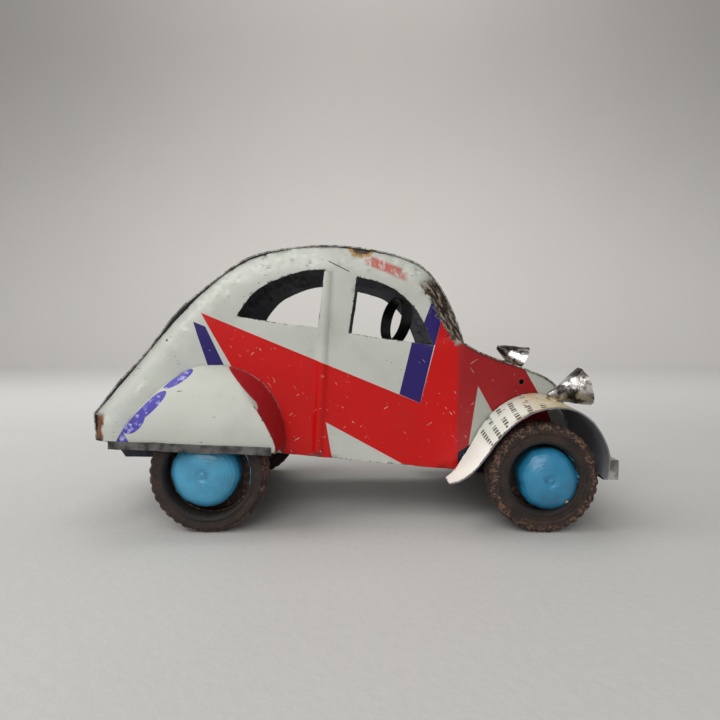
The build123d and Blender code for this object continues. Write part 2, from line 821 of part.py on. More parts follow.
def front_bumper():
    """Channel across the front, open to the rear, with folded end tabs."""
    front_x = bumper_back_x + bumper_depth
    size = (bumper_depth, 2 * bumper_half_width, bumper_height)
    place = Pos(front_x - bumper_depth / 2, 0, bumper_bottom + bumper_height / 2)
    hollow = (bumper_depth, 2 * (bumper_half_width - sheet), bumper_height - 2 * sheet)
    return place * (Box(*size) - Pos(-sheet, 0, 0) * Box(*hollow))


# ---------------------------------------------------------------------- output
def build():
    """Every node of the car, by name."""
    right_panel = side_panel()
    fender = front_fender()
    skirt = rear_skirt()
    trim = skirt_trim()
    nodes = {
        "side_panel_right": right_panel,
        "side_panel_left": mirrored(right_panel),
        "roof_strip": roof_strip(),
        "hood_strip": hood_strip(),
        "nose_panel": nose_panel(),
        "floor_pan": floor_pan(),
        "dash_panel": dash_panel(),
        "steering_wheel": steering_wheel(),
        "steering_column": steering_column(),
        "front_axle_tube": axle_tube(front_axle_x, front_tyre_radius),
        "rear_axle_tube": axle_tube(rear_axle_x, rear_tyre_radius),
        "rear_axle_tray": rear_tray(),
        "front_fender_right": fender,
        "front_fender_left": mirrored(fender),
        "rear_fender_right": skirt,
        "rear_fender_left": mirrored(skirt),
        "rear_fender_trim_right": trim,
        "rear_fender_trim_left": mirrored(trim),
        "headlamp_cone_right": right_lamp * lamp_cone() - fender - fender_under(),
        "headlamp_cone_left": left_lamp * lamp_cone(),
        "headlamp_disc_right": right_lamp * lamp_disc(),
        "headlamp_disc_left": left_lamp * lamp_disc(),
        "headlamp_solder_right": lamp_solder(),
        "headlamp_stem_left": lamp_stem(),
        "front_bumper": front_bumper(),
        "front_axle_wire": axle_wire(front_axle_x, front_tyre_radius),
        "rear_axle_wire": axle_wire(rear_axle_x, rear_tyre_radius),
    }
    ends = [
        ("front", front_axle_x, front_tyre_radius, front_bore_radius, front_cap_radius, 0.0),
        ("rear", rear_axle_x, rear_tyre_radius, rear_bore_radius, rear_cap_radius, -rear_cap_offset),
    ]
    for end, axle_x, radius, bore, cap_radius, offset in ends:
        rubber = tyre(axle_x, radius, bore)
        dish = wheel_dish(axle_x, radius, bore)
        nodes[f"{end}_tyre_right"] = rubber
        nodes[f"{end}_tyre_left"] = mirrored(rubber)
        nodes[f"{end}_wheel_dish_right"] = dish
        nodes[f"{end}_wheel_dish_left"] = mirrored(dish)
        nodes[f"{end}_hub_cap_right"] = hub_cap(axle_x, radius, cap_radius, offset)
        nodes[f"{end}_hub_cap_left"] = mirrored(hub_cap(axle_x, radius, cap_radius, 0.0))
    return nodes


os.makedirs("parts", exist_ok=True)
for name, solid in build().items():
    export_step(solid, f"parts/{name}.step")
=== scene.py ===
"""Looks of a push-along tin car, cut by hand from printed sheet and soldered."""

import logging
import math
from dataclasses import dataclass, field
from enum import Enum
from typing import Iterable, Sequence, Union

import bmesh
import bpy
from mathutils import Matrix, Vector, kdtree, noise


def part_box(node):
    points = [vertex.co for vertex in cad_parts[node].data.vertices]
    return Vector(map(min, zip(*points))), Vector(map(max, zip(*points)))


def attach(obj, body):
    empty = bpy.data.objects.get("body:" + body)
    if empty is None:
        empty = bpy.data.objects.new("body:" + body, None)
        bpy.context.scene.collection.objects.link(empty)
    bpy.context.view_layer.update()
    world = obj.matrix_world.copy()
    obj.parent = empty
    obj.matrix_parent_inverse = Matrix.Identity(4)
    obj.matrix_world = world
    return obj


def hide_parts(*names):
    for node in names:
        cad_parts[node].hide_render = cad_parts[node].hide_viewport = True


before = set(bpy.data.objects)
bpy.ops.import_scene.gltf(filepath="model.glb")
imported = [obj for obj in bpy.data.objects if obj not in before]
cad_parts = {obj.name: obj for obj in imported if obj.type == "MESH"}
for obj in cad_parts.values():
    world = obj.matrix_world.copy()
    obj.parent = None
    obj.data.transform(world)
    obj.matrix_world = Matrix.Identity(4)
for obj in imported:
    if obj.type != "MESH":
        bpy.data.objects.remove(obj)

LOG = logging.getLogger("tin_car")
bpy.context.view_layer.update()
MM = 0.001
EDGE_LAYER = "to_edge"
# noise_vector is shifted by Blender's random state, which starts from the clock unless a seed is set.
DENT_SEED = 7
Number = Union[float, "Wire"]
Colour = tuple[float, float, float]
Point = tuple[float, float]


class Side(Enum):
    """The two sides of the car, with the sign of their Y."""

    RIGHT = -1
    LEFT = 1

    @property
    def word(self) -> str:
        """Lower-case name, as the nodes use it."""
        return self.name.lower()


# ------------------------------------------------------------------ shader kit
class Wire:
    """A value in a node tree. Arithmetic on it adds Math nodes."""

    def __init__(self, shop: "NodeShop", socket: bpy.types.NodeSocket) -> None:
        """Wrap a socket.

        Args:
            shop: The tree's node shop.
            socket: The output socket to wrap.
        """
        self.shop = shop
        self.socket = socket

    def __add__(self, other: Number) -> "Wire":
        """Sum."""
        return self.shop.maths("ADD", self, other)

    __radd__ = __add__

    def __sub__(self, other: Number) -> "Wire":
        """Difference."""
        return self.shop.maths("SUBTRACT", self, other)

    def __rsub__(self, other: Number) -> "Wire":
        """Difference from a number."""
        return self.shop.maths("SUBTRACT", other, self)

    def __mul__(self, other: Number) -> "Wire":
        """Product."""
        return self.shop.maths("MULTIPLY", self, other)

    __rmul__ = __mul__

    def __truediv__(self, other: Number) -> "Wire":
        """Quotient."""
        return self.shop.maths("DIVIDE", self, other)

    def __abs__(self) -> "Wire":
        """Size without sign."""
        return self.shop.maths("ABSOLUTE", self)

    def least(self, other: Number) -> "Wire":
        """Smaller of two values."""
        return self.shop.maths("MINIMUM", self, other)

    def most(self, other: Number) -> "Wire":
        """Larger of two values."""
        return self.shop.maths("MAXIMUM", self, other)

    def step(self, low: float, high: float) -> "Wire":
        """Smooth step from 0 at low to 1 at high.

        Args:
            low: Value that gives 0.
            high: Value that gives 1; it may lie below low.

        Returns:
            The stepped value.
        """
        settings = {"interpolation_type": "SMOOTHSTEP"}
        values = {"Value": self, "From Min": low, "From Max": high}
        return Wire(self.shop, self.shop.node("ShaderNodeMapRange", settings, values).outputs[0])


class NodeShop:
    """Builds one material's node tree."""

    def __init__(self, name: str) -> None:
        """Start an empty material.

        Args:
            name: The material's name.
        """
        self.material = bpy.data.materials.new(name)
        self.material.use_nodes = True
        self.tree = self.material.node_tree
        self.tree.nodes.clear()
        self.coordinates = self.node("ShaderNodeTexCoord", {}, {})

    def node(self, kind: str, settings: dict, inputs: dict) -> bpy.types.Node:
        """Add a node.

        Args:
            kind: Blender's type name of the node.
            settings: Properties to set first.
            inputs: Values, wires or sockets by input name or number.

        Returns:
            The new node.
        """
        made = self.tree.nodes.new(kind)
        for key, value in settings.items():
            setattr(made, key, value)
        for key, value in inputs.items():
            target = made.inputs[key]
            source = value.socket if isinstance(value, Wire) else value
            if isinstance(source, bpy.types.NodeSocket):
                self.tree.links.new(source, target)
            else:
                target.default_value = source
        return made

    def maths(self, operation: str, *values: Number) -> Wire:
        """Math node of some values."""
        made = self.node("ShaderNodeMath", {"operation": operation}, dict(enumerate(values)))
        return Wire(self, made.outputs[0])

    def axes(self, vector: bpy.types.NodeSocket, scale: float = 1.0) -> tuple[Wire, Wire, Wire]:
        """Three parts of a vector, each times scale."""
        split = self.node("ShaderNodeSeparateXYZ", {}, {0: vector})
        parts = [Wire(self, output) for output in split.outputs]
        if scale != 1.0:
            parts = [part * scale for part in parts]
        return parts[0], parts[1], parts[2]

    def place(self) -> tuple[Wire, Wire, Wire]:
        """Object coordinates in millimetres."""
        return self.axes(self.coordinates.outputs["Object"], 1.0 / MM)

    def facing(self) -> tuple[Wire, Wire, Wire]:
        """Surface normal in the object's own axes."""
        return self.axes(self.coordinates.outputs["Normal"])

    def mapped(self, turn: Sequence[float], stretch: Sequence[float]) -> bpy.types.NodeSocket:
        """Object coordinates, turned and then stretched.

        Args:
            turn: Rotation about X, Y and Z in degrees.
            stretch: Scale along X, Y and Z, after the turn.

        Returns:
            The vector socket.
        """
        turned = self.node(
            "ShaderNodeMapping",
            {},
            {0: self.coordinates.outputs["Object"], 2: [math.radians(angle) for angle in turn]},
        )
        scaled = self.node("ShaderNodeMapping", {}, {0: turned.outputs[0], 3: list(stretch)})
        return scaled.outputs[0]

    def noise(
        self,
        size: float,
        detail: float = 3.0,
        rough: float = 0.55,
        vector: bpy.types.NodeSocket | None = None,
        seed: float = 0.0,
    ) -> Wire:
        """Noise from 0 to 1.

        Args:
            size: Size of the blotches in millimetres.
            detail: Octaves.
            rough: Share of each finer octave.
            vector: Where to read it; object coordinates if left out.
            seed: Offset that gives a different pattern.

        Returns:
            The noise value.
        """
        made = self.node(
            "ShaderNodeTexNoise",
            {"noise_dimensions": "4D"},
            {
                "Vector": vector or self.coordinates.outputs["Object"],
                "W": seed,
                "Scale": 1.0 / (size * MM),
                "Detail": detail,
                "Roughness": rough,
            },
        )
        return Wire(self, made.outputs[0])

    def specks(self, size: float, share: float, radius: float, seed: float = 0.0) -> Wire:
        """Scattered round specks of uneven size, 1 inside a speck.

        Args:
            size: Spacing of the cells in millimetres.
            share: Share of the cells that hold a speck.
            radius: Largest radius, as a share of a cell.
            seed: Offset along X that gives a different pattern.

        Returns:
            The mask.
        """
        vector = self.node(
            "ShaderNodeMapping",
            {},
            {0: self.coordinates.outputs["Object"], 1: (seed * 0.37, 0.0, 0.0)},
        ).outputs[0]
        cells = self.node(
            "ShaderNodeTexVoronoi",
            {"feature": "F1"},
            {"Vector": vector, "Scale": 1.0 / (size * MM)},
        )
        chance, reach, _ = self.axes(cells.outputs["Color"])
        edge = Wire(self, cells.outputs["Distance"]) + (self.noise(size / 5, 2.0) - 0.5) * 0.12
        limit = reach * radius
        spot = (limit - edge).step(0.0, 0.05)
        return spot * chance.step(1.0 - share, 1.0 - share + 0.01)

    def scratches(self, angle: float, length: float, share: float, seed: float = 0.0) -> Wire:
        """Thin scratches seen from the side, 1 along a scratch.

        Args:
            angle: Direction in degrees, about Y.
            length: Length of a scratch in millimetres.
            share: How many, from 0 to 1.
            seed: Offset that gives a different pattern.

        Returns:
            The mask.
        """
        vector = self.mapped((0.0, angle, 0.0), (1.0, 1.0, length / 0.35))
        line = self.noise(length, 1.0, 0.4, vector, seed)
        gate = self.noise(length * 1.3, 1.0, 0.4, None, seed + 3.0)
        return (line - 0.745 + share * 0.12).step(0.0, 0.03) * gate.step(0.52, 0.6)

    def tint(self, colour: Colour) -> tuple[float, float, float, float]:
        """A colour as a socket value."""
        return (*colour, 1.0)

    def mix(self, share: Number, first, second) -> bpy.types.NodeSocket:
        """Colour mixed from first to second.

        Args:
            share: 0 gives first and 1 gives second.
            first: Colour or socket.
            second: Colour or socket.

        Returns:
            The mixed colour's socket.
        """
        colours = [self.tint(c) if isinstance(c, tuple) and len(c) == 3 else c for c in (first, second)]
        made = self.node(
            "ShaderNodeMix",
            {"data_type": "RGBA", "clamp_factor": True},
            {0: share, 6: colours[0], 7: colours[1]},
        )
        return made.outputs[2]

    def blend(self, share: Number, first: Number, second: Number) -> Wire:
        """Value mixed from first to second."""
        made = self.node(
            "ShaderNodeMix", {"data_type": "FLOAT", "clamp_factor": True}, {0: share, 2: first, 3: second}
        )
        return Wire(self, made.outputs[0])

    def bump(self, height: Number, depth: float, strength: float = 1.0, normal=None) -> bpy.types.NodeSocket:
        """Bump from a height.

        Args:
            height: Height from 0 to 1.
            depth: Depth in millimetres for a height of 1.
            strength: Share of the effect.
            normal: Another bump to build on.

        Returns:
            The normal socket.
        """
        values = {"Height": height, "Distance": depth * MM, "Strength": strength}
        if normal is not None:
            values["Normal"] = normal
        return self.node("ShaderNodeBump", {}, values).outputs[0]

    def surface(self, links: dict, fixed: dict | None = None) -> bpy.types.Material:
        """Close the tree with a Principled shader.

        Args:
            links: Inputs that vary over the surface.
            fixed: Inputs that are the same all over.

        Returns:
            The finished material.
        """
        shader = self.node("ShaderNodeBsdfPrincipled", {}, {**(fixed or {}), **links})
        self.node("ShaderNodeOutputMaterial", {}, {"Surface": shader.outputs[0]})
        return self.material


def inside(x: Wire, z: Wire, corners: Sequence[Point], soft: float = 0.12) -> Wire:
    """Mask of a convex shape seen from the side.

    Args:
        x: Distance forward in millimetres.
        z: Height in millimetres.
        corners: Corners in order, either way round.
        soft: Width of the edge's blur in millimetres.

    Returns:
        1 inside the shape.
    """
    area = 0.0
    for index, (x0, z0) in enumerate(corners):
        x1, z1 = corners[(index + 1) % len(corners)]
        area += x0 * z1 - x1 * z0
    turn = 1.0 if area > 0 else -1.0
    mask = None
    for index, (x0, z0) in enumerate(corners):
        x1, z1 = corners[(index + 1) % len(corners)]
        length = math.hypot(x1 - x0, z1 - z0)
        across = turn * (z0 - z1) / length
        up = turn * (x1 - x0) / length
        depth = x * across + z * up - (x0 * across + z0 * up)
        mask = depth if mask is None else mask.least(depth)
    return mask.step(-soft / 2, soft / 2)


def any_of(masks: Iterable[Wire]) -> Wire:
    """Largest of several masks."""
    result = None
    for mask in masks:
        result = mask if result is None else result.most(mask)
    return result


# -------------------------------------------------------------------- finishes
PALE: Colour = (0.53, 0.55, 0.505)
RED: Colour = (0.53, 0.003, 0.0025)
# Red darkened for the hood side: painted shade, because that side turns away from the light.
SHADED_HOOD_RED: Colour = (0.34, 0.013, 0.017)
BLUE: Colour = (0.020, 0.011, 0.125)
RUST: Colour = (0.22, 0.085, 0.03)
DARK_TIN: Colour = (0.21, 0.22, 0.25)
BARE_TIN: Colour = (0.42, 0.40, 0.38)
GRIME: Colour = (0.035, 0.028, 0.022)
CHIP: Colour = (0.06, 0.045, 0.035)
OLD_PALE: Colour = (0.47, 0.49, 0.44)
SCRATCH_LIGHT: Colour = (0.62, 0.57, 0.50)
SCRATCH_DARK: Colour = (0.05, 0.04, 0.035)

# Places of (distance forward, height) and lengths, in millimetres.
FRONT_AXLE: Point = (54.2, 15.0)
REAR_AXLE: Point = (-37.3, 16.0)
BORES = {"front": 9.3, "rear": 11.6}
HOOD_FOLD_X = 32.6
RED_SHAPES = (
    ((-42.4, 60.6), (21.8, 34.1), (34.0, 29.0), (34.0, 0.0), (-7.8, 0.0)),
    ((21.8, 34.1), (28.2, 59.2), (40.0, 59.0), (40.0, 0.0), (21.8, 0.0)),
    ((31.0, 60.0), (44.0, 60.0), (59.0, 36.0), (63.0, 28.5), (66.0, 0.0), (31.0, 0.0)),
)
PALE_SHAPES = (
    ((-12.2, 31.9), (15.8, 16.6), (30.0, 8.8), (-2.0, 5.0), (-4.2, 18.4)),
    ((39.1, 39.0), (51.0, 18.8), (35.9, 18.8)),
)
BLUE_SHAPES = (
    ((-44.7, 58.0), (-41.0, 56.5), (-35.2, 44.4), (-36.5, 40.0), (-38.6, 40.0)),
    ((19.6, 53.0), (26.4, 53.4), (21.8, 34.1), (15.7, 36.7)),
    ((25.3, 64.2), (28.2, 59.2), (26.1, 51.0), (22.0, 55.4)),
)
DARK_SHAPE = ((33.0, 19.5), (47.5, 27.5), (60.0, 20.0), (60.0, 5.0), (33.0, 5.0))
# Rounded patches of a skirt: middle, half length, half width, and direction in degrees.
SKIRT_PATCHES = (
    ((-47.0, 41.7), 4.1, 1.5, 34.0),
    ((-53.2, 34.4), 5.6, 1.7, 46.0),
    ((-56.6, 30.6), 3.6, 2.4, 50.0),
)
SKIRT_CORNER = ((-60.5, 30.2), (-56.6, 24.0), (-66.0, 24.0), (-66.0, 30.0))
SKIRT_RED_TOP: Point = (-33.7, 44.6)
SKIRT_RED_MIDDLE: Point = (-24.5, 35.4)
SLIT_SHAPE = ((-5.0, 75.35), (1.0, 72.35), (1.1, 72.65), (-4.9, 75.65))


@dataclass(frozen=True)
class Printed:
    """Printed can sheet: glossy ink outside, dark bare tin inside and on cut edges."""

    name: str
    gloss: float = 0.30
    chips: float = 0.22
    scratch: float = 0.12
    dents: float = 0.5

    def ink(self, shop: NodeShop, x: Wire, y: Wire, z: Wire) -> bpy.types.NodeSocket:
        """Printed colours, before wear."""
        return shop.mix((shop.noise(9.0) - 0.5) * 0.6 + 0.3, PALE, OLD_PALE)

    def damage(self, shop: NodeShop, x: Wire, y: Wire, z: Wire) -> Wire:
        """Mask of ink that is worn away, besides chips and scratches."""
        return shop.noise(0.8, 3.0).step(0.86, 0.9)

    def is_inside(self, shop: NodeShop, y: Wire) -> Wire:
        """1 on the inner face and on cut edges."""
        _, across, _ = shop.facing()
        outward = across * shop.maths("SIGN", y)
        return outward.step(0.30, 0.20)

    def extra(self, shop: NodeShop, colour, x: Wire, y: Wire, z: Wire):
        """Marks laid over the worn ink, such as rust or smears."""
        return colour

    def material(self) -> bpy.types.Material:
        """Build the finish."""
        shop = NodeShop(self.name)
        x, y, z = shop.place()
        ink = self.ink(shop, x, y, z)
        grime = (shop.noise(14.0, 4.0, 0.6, None, 2.0) - 0.45).step(0.0, 0.35) * 0.16
        ink = shop.mix(grime, ink, GRIME)
        chips = shop.specks(3.1, self.chips, 0.16).most(shop.specks(7.0, self.chips, 0.085, 4.0))
        pale_marks = shop.scratches(35.0, 3.4, self.scratch).most(
            shop.scratches(-50.0, 2.4, self.scratch * 0.8, 9.0)
        )
        dark_marks = shop.scratches(8.0, 2.6, self.scratch * 0.9, 17.0)
        edge = shop.node("ShaderNodeAttribute", {"attribute_name": EDGE_LAYER}, {}).outputs["Fac"]
        ragged = Wire(shop, edge) + (shop.noise(1.2, 5.0, 0.7, None, 13.0) - 0.5) * 2.6
        rim = ragged.step(0.16, -0.04) * shop.noise(4.0, 3.0, 0.6, None, 15.0).step(0.36, 0.46)
        worn = self.damage(shop, x, y, z)
        colour = shop.mix(chips, ink, CHIP)
        colour = shop.mix(pale_marks * 0.75, colour, SCRATCH_LIGHT)
        colour = shop.mix(dark_marks * 0.8, colour, SCRATCH_DARK)
        metal = shop.mix(shop.noise(1.1, 4.0).step(0.42, 0.62), BARE_TIN, (0.10, 0.075, 0.06))
        rim_tone = shop.mix(shop.noise(0.9, 4.0), (0.03, 0.024, 0.02), (0.17, 0.13, 0.10))
        colour = shop.mix(rim * 0.9, colour, rim_tone)
        colour = shop.mix(worn, colour, metal)
        colour = self.extra(shop, colour, x, y, z)
        under = self.is_inside(shop, y)
        back = shop.mix(shop.noise(5.0, 4.0), DARK_TIN, (0.29, 0.29, 0.31))
        colour = shop.mix(under, colour, back)
        haze = shop.noise(6.0, 4.0, 0.6, None, 6.0)
        rough = shop.blend(under, haze * 0.24 + (self.gloss - 0.08), haze * 0.2 + 0.38)
        rough = shop.blend(chips.most(worn).most(rim), rough, 0.55)
        metallic = worn.most(under * 0.6) * 0.8
        ripple = shop.bump(shop.noise(16.0, 1.0, 0.4), self.dents, 0.5)
        height = shop.noise(0.35, 2.0) * 0.04 - chips * 0.5 - pale_marks * 0.3 - worn.most(rim) * 0.3
        fine = shop.bump(height, 0.09, 0.8, ripple)
        return shop.surface(
            {"Base Color": colour, "Roughness": rough, "Metallic": metallic, "Normal": fine},
            {"Specular IOR Level": 0.26, "Coat Weight": 0.04, "Coat Roughness": 0.12},
        )


@dataclass(frozen=True)
class SidePrint(Printed):
    """Livery of a side panel: angular red, blue and pale shapes, with painted shade on the hood side."""

    pillar_top: Point = (23.0, 70.0)
    pillar_foot: Point = (33.6, 51.6)

    def ink(self, shop: NodeShop, x: Wire, y: Wire, z: Wire) -> bpy.types.NodeSocket:
        """Printed colours, before wear."""
        pale = super().ink(shop, x, y, z)
        red = any_of(inside(x, z, shape) for shape in RED_SHAPES)
        patches = any_of(inside(x, z, shape) for shape in PALE_SHAPES)
        bands = any_of(inside(x, z, shape) for shape in BLUE_SHAPES)
        # Ahead of the hood fold, the red and the pale are painted darker: painted shade for a side that turns
        # away from the light.
        on_hood = (x - HOOD_FOLD_X).step(-0.1, 0.4)
        colour = shop.mix(red, pale, shop.mix(on_hood, RED, SHADED_HOOD_RED))
        colour = shop.mix(patches, colour, shop.mix(on_hood, pale, (0.42, 0.42, 0.38)))
        colour = shop.mix(bands, colour, BLUE)
        return shop.mix(inside(x, z, DARK_SHAPE) * on_hood, colour, (0.012, 0.013, 0.03))

    def scrape(self, shop: NodeShop, x: Wire, y: Wire, z: Wire) -> Wire:
        """Mask of the bare metal scraped along the windscreen pillar."""
        (x0, z0), (x1, z1) = self.pillar_top, self.pillar_foot
        length = math.hypot(x1 - x0, z1 - z0)
        along = ((x - x0) * (x1 - x0) + (z - z0) * (z1 - z0)) / length
        across = ((x - x0) * (z0 - z1) + (z - z0) * (x1 - x0)) / length
        ragged = across + (shop.noise(1.6, 4.0, 0.65) - 0.5) * 5.0
        scrape = ragged.step(-1.8, -1.2) * along.step(-1.5, 3.0) * along.step(length + 0.5, length - 1.0)
        return scrape * abs(y).step(19.0, 20.0)

    def damage(self, shop: NodeShop, x: Wire, y: Wire, z: Wire) -> Wire:
        """Scraped pillar and worn specks."""
        return self.scrape(shop, x, y, z).most(shop.noise(0.8, 3.0).step(0.86, 0.9))

    def extra(self, shop: NodeShop, colour, x: Wire, y: Wire, z: Wire):
        """Rust at the tail's corner and on the roof, with a red smear."""
        streak = shop.noise(1.0, 4.0, 0.65, shop.mapped((0.0, -60.0, 0.0), (0.32, 1.0, 1.3)), 11.0)
        bare = shop.mix(streak.step(0.45, 0.66), (0.055, 0.036, 0.027), (0.50, 0.44, 0.36))
        colour = shop.mix(self.scrape(shop, x, y, z), colour, bare)
        ragged = (shop.noise(1.8, 5.0, 0.65, None, 5.0) - 0.5) * 4.0
        tail = (x + 71.6 + ragged * 0.8).step(0.5, -0.6) * (z - 27.0 + ragged).step(4.5, 2.5)
        rust_tone = shop.mix(shop.noise(0.9, 4.0), RUST, (0.07, 0.03, 0.018))
        colour = shop.mix(tail, colour, rust_tone)
        out, up = (x - 4.6) / 4.2, (z - 79.6) / 3.0
        far = shop.maths("SQRT", out * out + up * up) + (shop.noise(1.3, 5.0, 0.7, None, 5.0) - 0.5) * 1.0
        colour = shop.mix(far.step(1.02, 0.86) * 0.9, colour, (0.36, 0.21, 0.065))
        colour = shop.mix(far.step(0.74, 0.58) * 0.9, colour, (0.055, 0.045, 0.042))
        drift = z - 76.2 + (x - 6.0) * 0.42
        smear = (abs(drift + ragged * 0.25)).step(2.3, 0.9) * (x + ragged * 0.3).step(5.0, 6.4)
        wiped = shop.noise(1.3, 5.0, 0.7, shop.mapped((0.0, 0.0, 0.0), (1.0, 1.0, 0.35)), 3.0)
        smear = smear * (x + ragged * 0.3).step(18.6, 16.4) * wiped.step(0.38, 0.52)
        colour = shop.mix(smear * 0.85, colour, (0.42, 0.05, 0.035))
        return shop.mix(inside(x, z, SLIT_SHAPE, 0.1) * 0.9, colour, GRIME)


@dataclass(frozen=True)
class StripPrint(Printed):
    """Pale strips of roof, hood and nose, chipped along their edges."""

    half_width: float = 21.4
    hood_taper: bool = False
    half_length: float = 75.0
    cowl_x: float = 31.0
    cowl_half_width: float = 24.2
    taper: float = 0.273

    def is_inside(self, shop: NodeShop, y: Wire) -> Wire:
        """1 on the lower face."""
        out_x, _, out_z = shop.facing()
        x, _, _ = shop.place()
        outward = out_x * (x / self.half_length) + out_z * 0.9
        return outward.step(-0.25, -0.35)

    def damage(self, shop: NodeShop, x: Wire, y: Wire, z: Wire) -> Wire:
        """Bare, chipped edges."""
        edge = abs(y) * -1.0 + self.half_width
        if self.hood_taper:
            edge = abs(y) * -1.0 + (self.cowl_half_width - (x - self.cowl_x) * self.taper)
        ragged = edge + (shop.noise(1.3, 5.0, 0.7) - 0.52) * 3.6
        patchy = shop.noise(2.2, 4.0, 0.6, None, 7.0).step(0.44, 0.50)
        return (ragged.step(0.45, 0.0) * patchy).most(shop.noise(0.8, 3.0).step(0.86, 0.9))


@dataclass(frozen=True)
class FenderPrint(Printed):
    """Off-white front fender with rows of short dark dashes and a tan, heated top."""

    axle: Point = FRONT_AXLE
    centre_drop: float = 6.0

    def is_inside(self, shop: NodeShop, y: Wire) -> Wire:
        """1 on the face towards the wheel."""
        x, _, z = shop.place()
        out_x, _, out_z = shop.facing()
        away = (x - self.axle[0]) * out_x + (z - (self.axle[1] - self.centre_drop)) * out_z
        return away.step(3.0, 1.5)

    def ink(self, shop: NodeShop, x: Wire, y: Wire, z: Wire) -> bpy.types.NodeSocket:
        """Rows of dashes across the rear half, a tan top and a painted highlight on the rear end."""
        turn = shop.maths("ARCTAN2", z - self.axle[1], self.axle[0] - x)
        angle = 180.0 - turn * (180.0 / math.pi)
        row = shop.maths("FRACT", angle * 0.088 - abs(y) * 0.042)
        line = abs(row - 0.5).step(0.22, 0.17)
        word = shop.noise(2.6, 0.0, 0.0, None, 1.0).step(0.40, 0.43)
        dash = shop.maths("FRACT", abs(y) * 0.52 + angle * 0.03)
        letters = dash.step(0.0, 0.06) * dash.step(0.72, 0.66)
        zone = angle.step(84.0, 92.0) * angle.step(150.0, 146.0) * (abs(y)).step(21.0, 22.5)
        marks = line * word * letters * zone
        paper = shop.mix(shop.noise(4.0, 4.0), (0.72, 0.78, 0.70), (0.64, 0.68, 0.60))
        # Painted highlight: the rear end, which faces the light, is painted near-white.
        paper = shop.mix(angle.step(138.0, 156.0) * 0.9, paper, (0.90, 0.97, 0.90))
        heat = angle.step(112.0, 86.0) * (shop.noise(3.0, 5.0, 0.6) * 0.9 + 0.30)
        edge = abs(y) + (shop.noise(2.0, 4.0, 0.6, None, 6.0) - 0.5) * 3.0
        rim = edge.step(35.2, 37.2) * angle.step(130.0, 100.0)
        paper = shop.mix(heat.most(rim) * 0.9, paper, (0.38, 0.25, 0.085))
        return shop.mix(marks * 0.92, paper, (0.045, 0.045, 0.045))

    def damage(self, shop: NodeShop, x: Wire, y: Wire, z: Wire) -> Wire:
        """Worn outer edge."""
        edge = 37.6 - abs(y) + (shop.noise(1.4, 5.0, 0.7) - 0.5) * 2.4
        return edge.step(0.25, 0.0)


@dataclass(frozen=True)
class SkirtPrint(Printed):
    """Pale rear skirt, with blue patches behind and a red front edge, printed red and painted darker as
    shade.
    """

    def ink(self, shop: NodeShop, x: Wire, y: Wire, z: Wire) -> bpy.types.NodeSocket:
        """Pale ground, red sliver with painted shade, and blue patches."""
        ground = shop.mix((shop.noise(9.0) - 0.5) * 0.6 + 0.3, (0.47, 0.485, 0.44), (0.41, 0.42, 0.38))
        (top_x, top_z), (middle_x, middle_z) = SKIRT_RED_TOP, SKIRT_RED_MIDDLE
        upper = x - top_x - (top_z - z)
        lower = x - middle_x - (middle_z - z) * 0.57
        flap = shop.facing()[0].step(0.3, 0.45) * (x + 24.0).step(0.0, 0.5)
        red = upper.most(lower).step(-0.1, 0.1).most(flap)
        # The red sliver and the front flap are printed red, and the red is painted darker as shade for faces
        # turned away from the light.
        colour = shop.mix(red, ground, (0.30, 0.012, 0.016))
        patches = any_of([self.patch(x, z, *patch) for patch in SKIRT_PATCHES] + [inside(x, z, SKIRT_CORNER)])
        cloud = shop.noise(1.6, 3.0, 0.6, None, 3.0).step(0.50, 0.66)
        blue = shop.mix(cloud * 0.9, (0.045, 0.035, 0.33), (0.40, 0.41, 0.62))
        return shop.mix(patches, colour, blue)

    def patch(self, x: Wire, z: Wire, centre: Point, length: float, width: float, angle: float) -> Wire:
        """Rounded patch of ink.

        Args:
            x: Distance forward.
            z: Height.
            centre: Middle of the patch.
            length: Half length.
            width: Half width.
            angle: Direction of its length in degrees.

        Returns:
            The mask.
        """
        turn = math.radians(angle)
        along = ((x - centre[0]) * math.cos(turn) + (z - centre[1]) * math.sin(turn)) / length
        across = ((z - centre[1]) * math.cos(turn) - (x - centre[0]) * math.sin(turn)) / width
        return (along * along + across * across).step(1.04, 0.96)

    def damage(self, shop: NodeShop, x: Wire, y: Wire, z: Wire) -> Wire:
        """Chipped seam round the arch."""
        seam = 24.3 - abs(y) + (shop.noise(1.2, 5.0, 0.7) - 0.5) * 2.2
        return seam.step(0.15, 0.5) * 0.9

    def is_inside(self, shop: NodeShop, y: Wire) -> Wire:
        """1 on the face towards the wheel."""
        out_x, across, out_z = shop.facing()
        x, _, _ = shop.place()
        outward = across * shop.maths("SIGN", y) + out_z * 0.9 + out_x * (x + 42.0) * 0.05
        return outward.step(0.10, 0.0)


@dataclass(frozen=True)
class Metal:
    """Bare or grimy metal with streaks, stains and rust."""

    name: str
    light: Colour
    dark: Colour
    rough: float = 0.4
    metallic: float = 0.9
    grain: float = 1.5
    rust: float = 0.15
    rust_colour: Colour = RUST
    depth: float = 0.12
    stains: Point = (0.35, 0.68)

    def material(self) -> bpy.types.Material:
        """Build the finish."""
        shop = NodeShop(self.name)
        stain = shop.noise(self.grain * 3.0, 5.0, 0.6)
        fine = shop.noise(self.grain, 5.0, 0.65, None, 3.0)
        colour = shop.mix(stain.step(*self.stains), self.light, self.dark)
        rust = fine.step(0.72 - self.rust, 0.80 - self.rust)
        colour = shop.mix(rust * 0.85, colour, self.rust_colour)
        rough = fine * 0.3 + (self.rough - 0.12) + rust * 0.25
        normal = shop.bump(fine + stain * 0.6, self.depth, 0.7)
        return shop.surface(
            {
                "Base Color": colour,
                "Roughness": rough,
                "Metallic": (1.0 - rust * 0.9) * self.metallic,
                "Normal": normal,
            }
        )


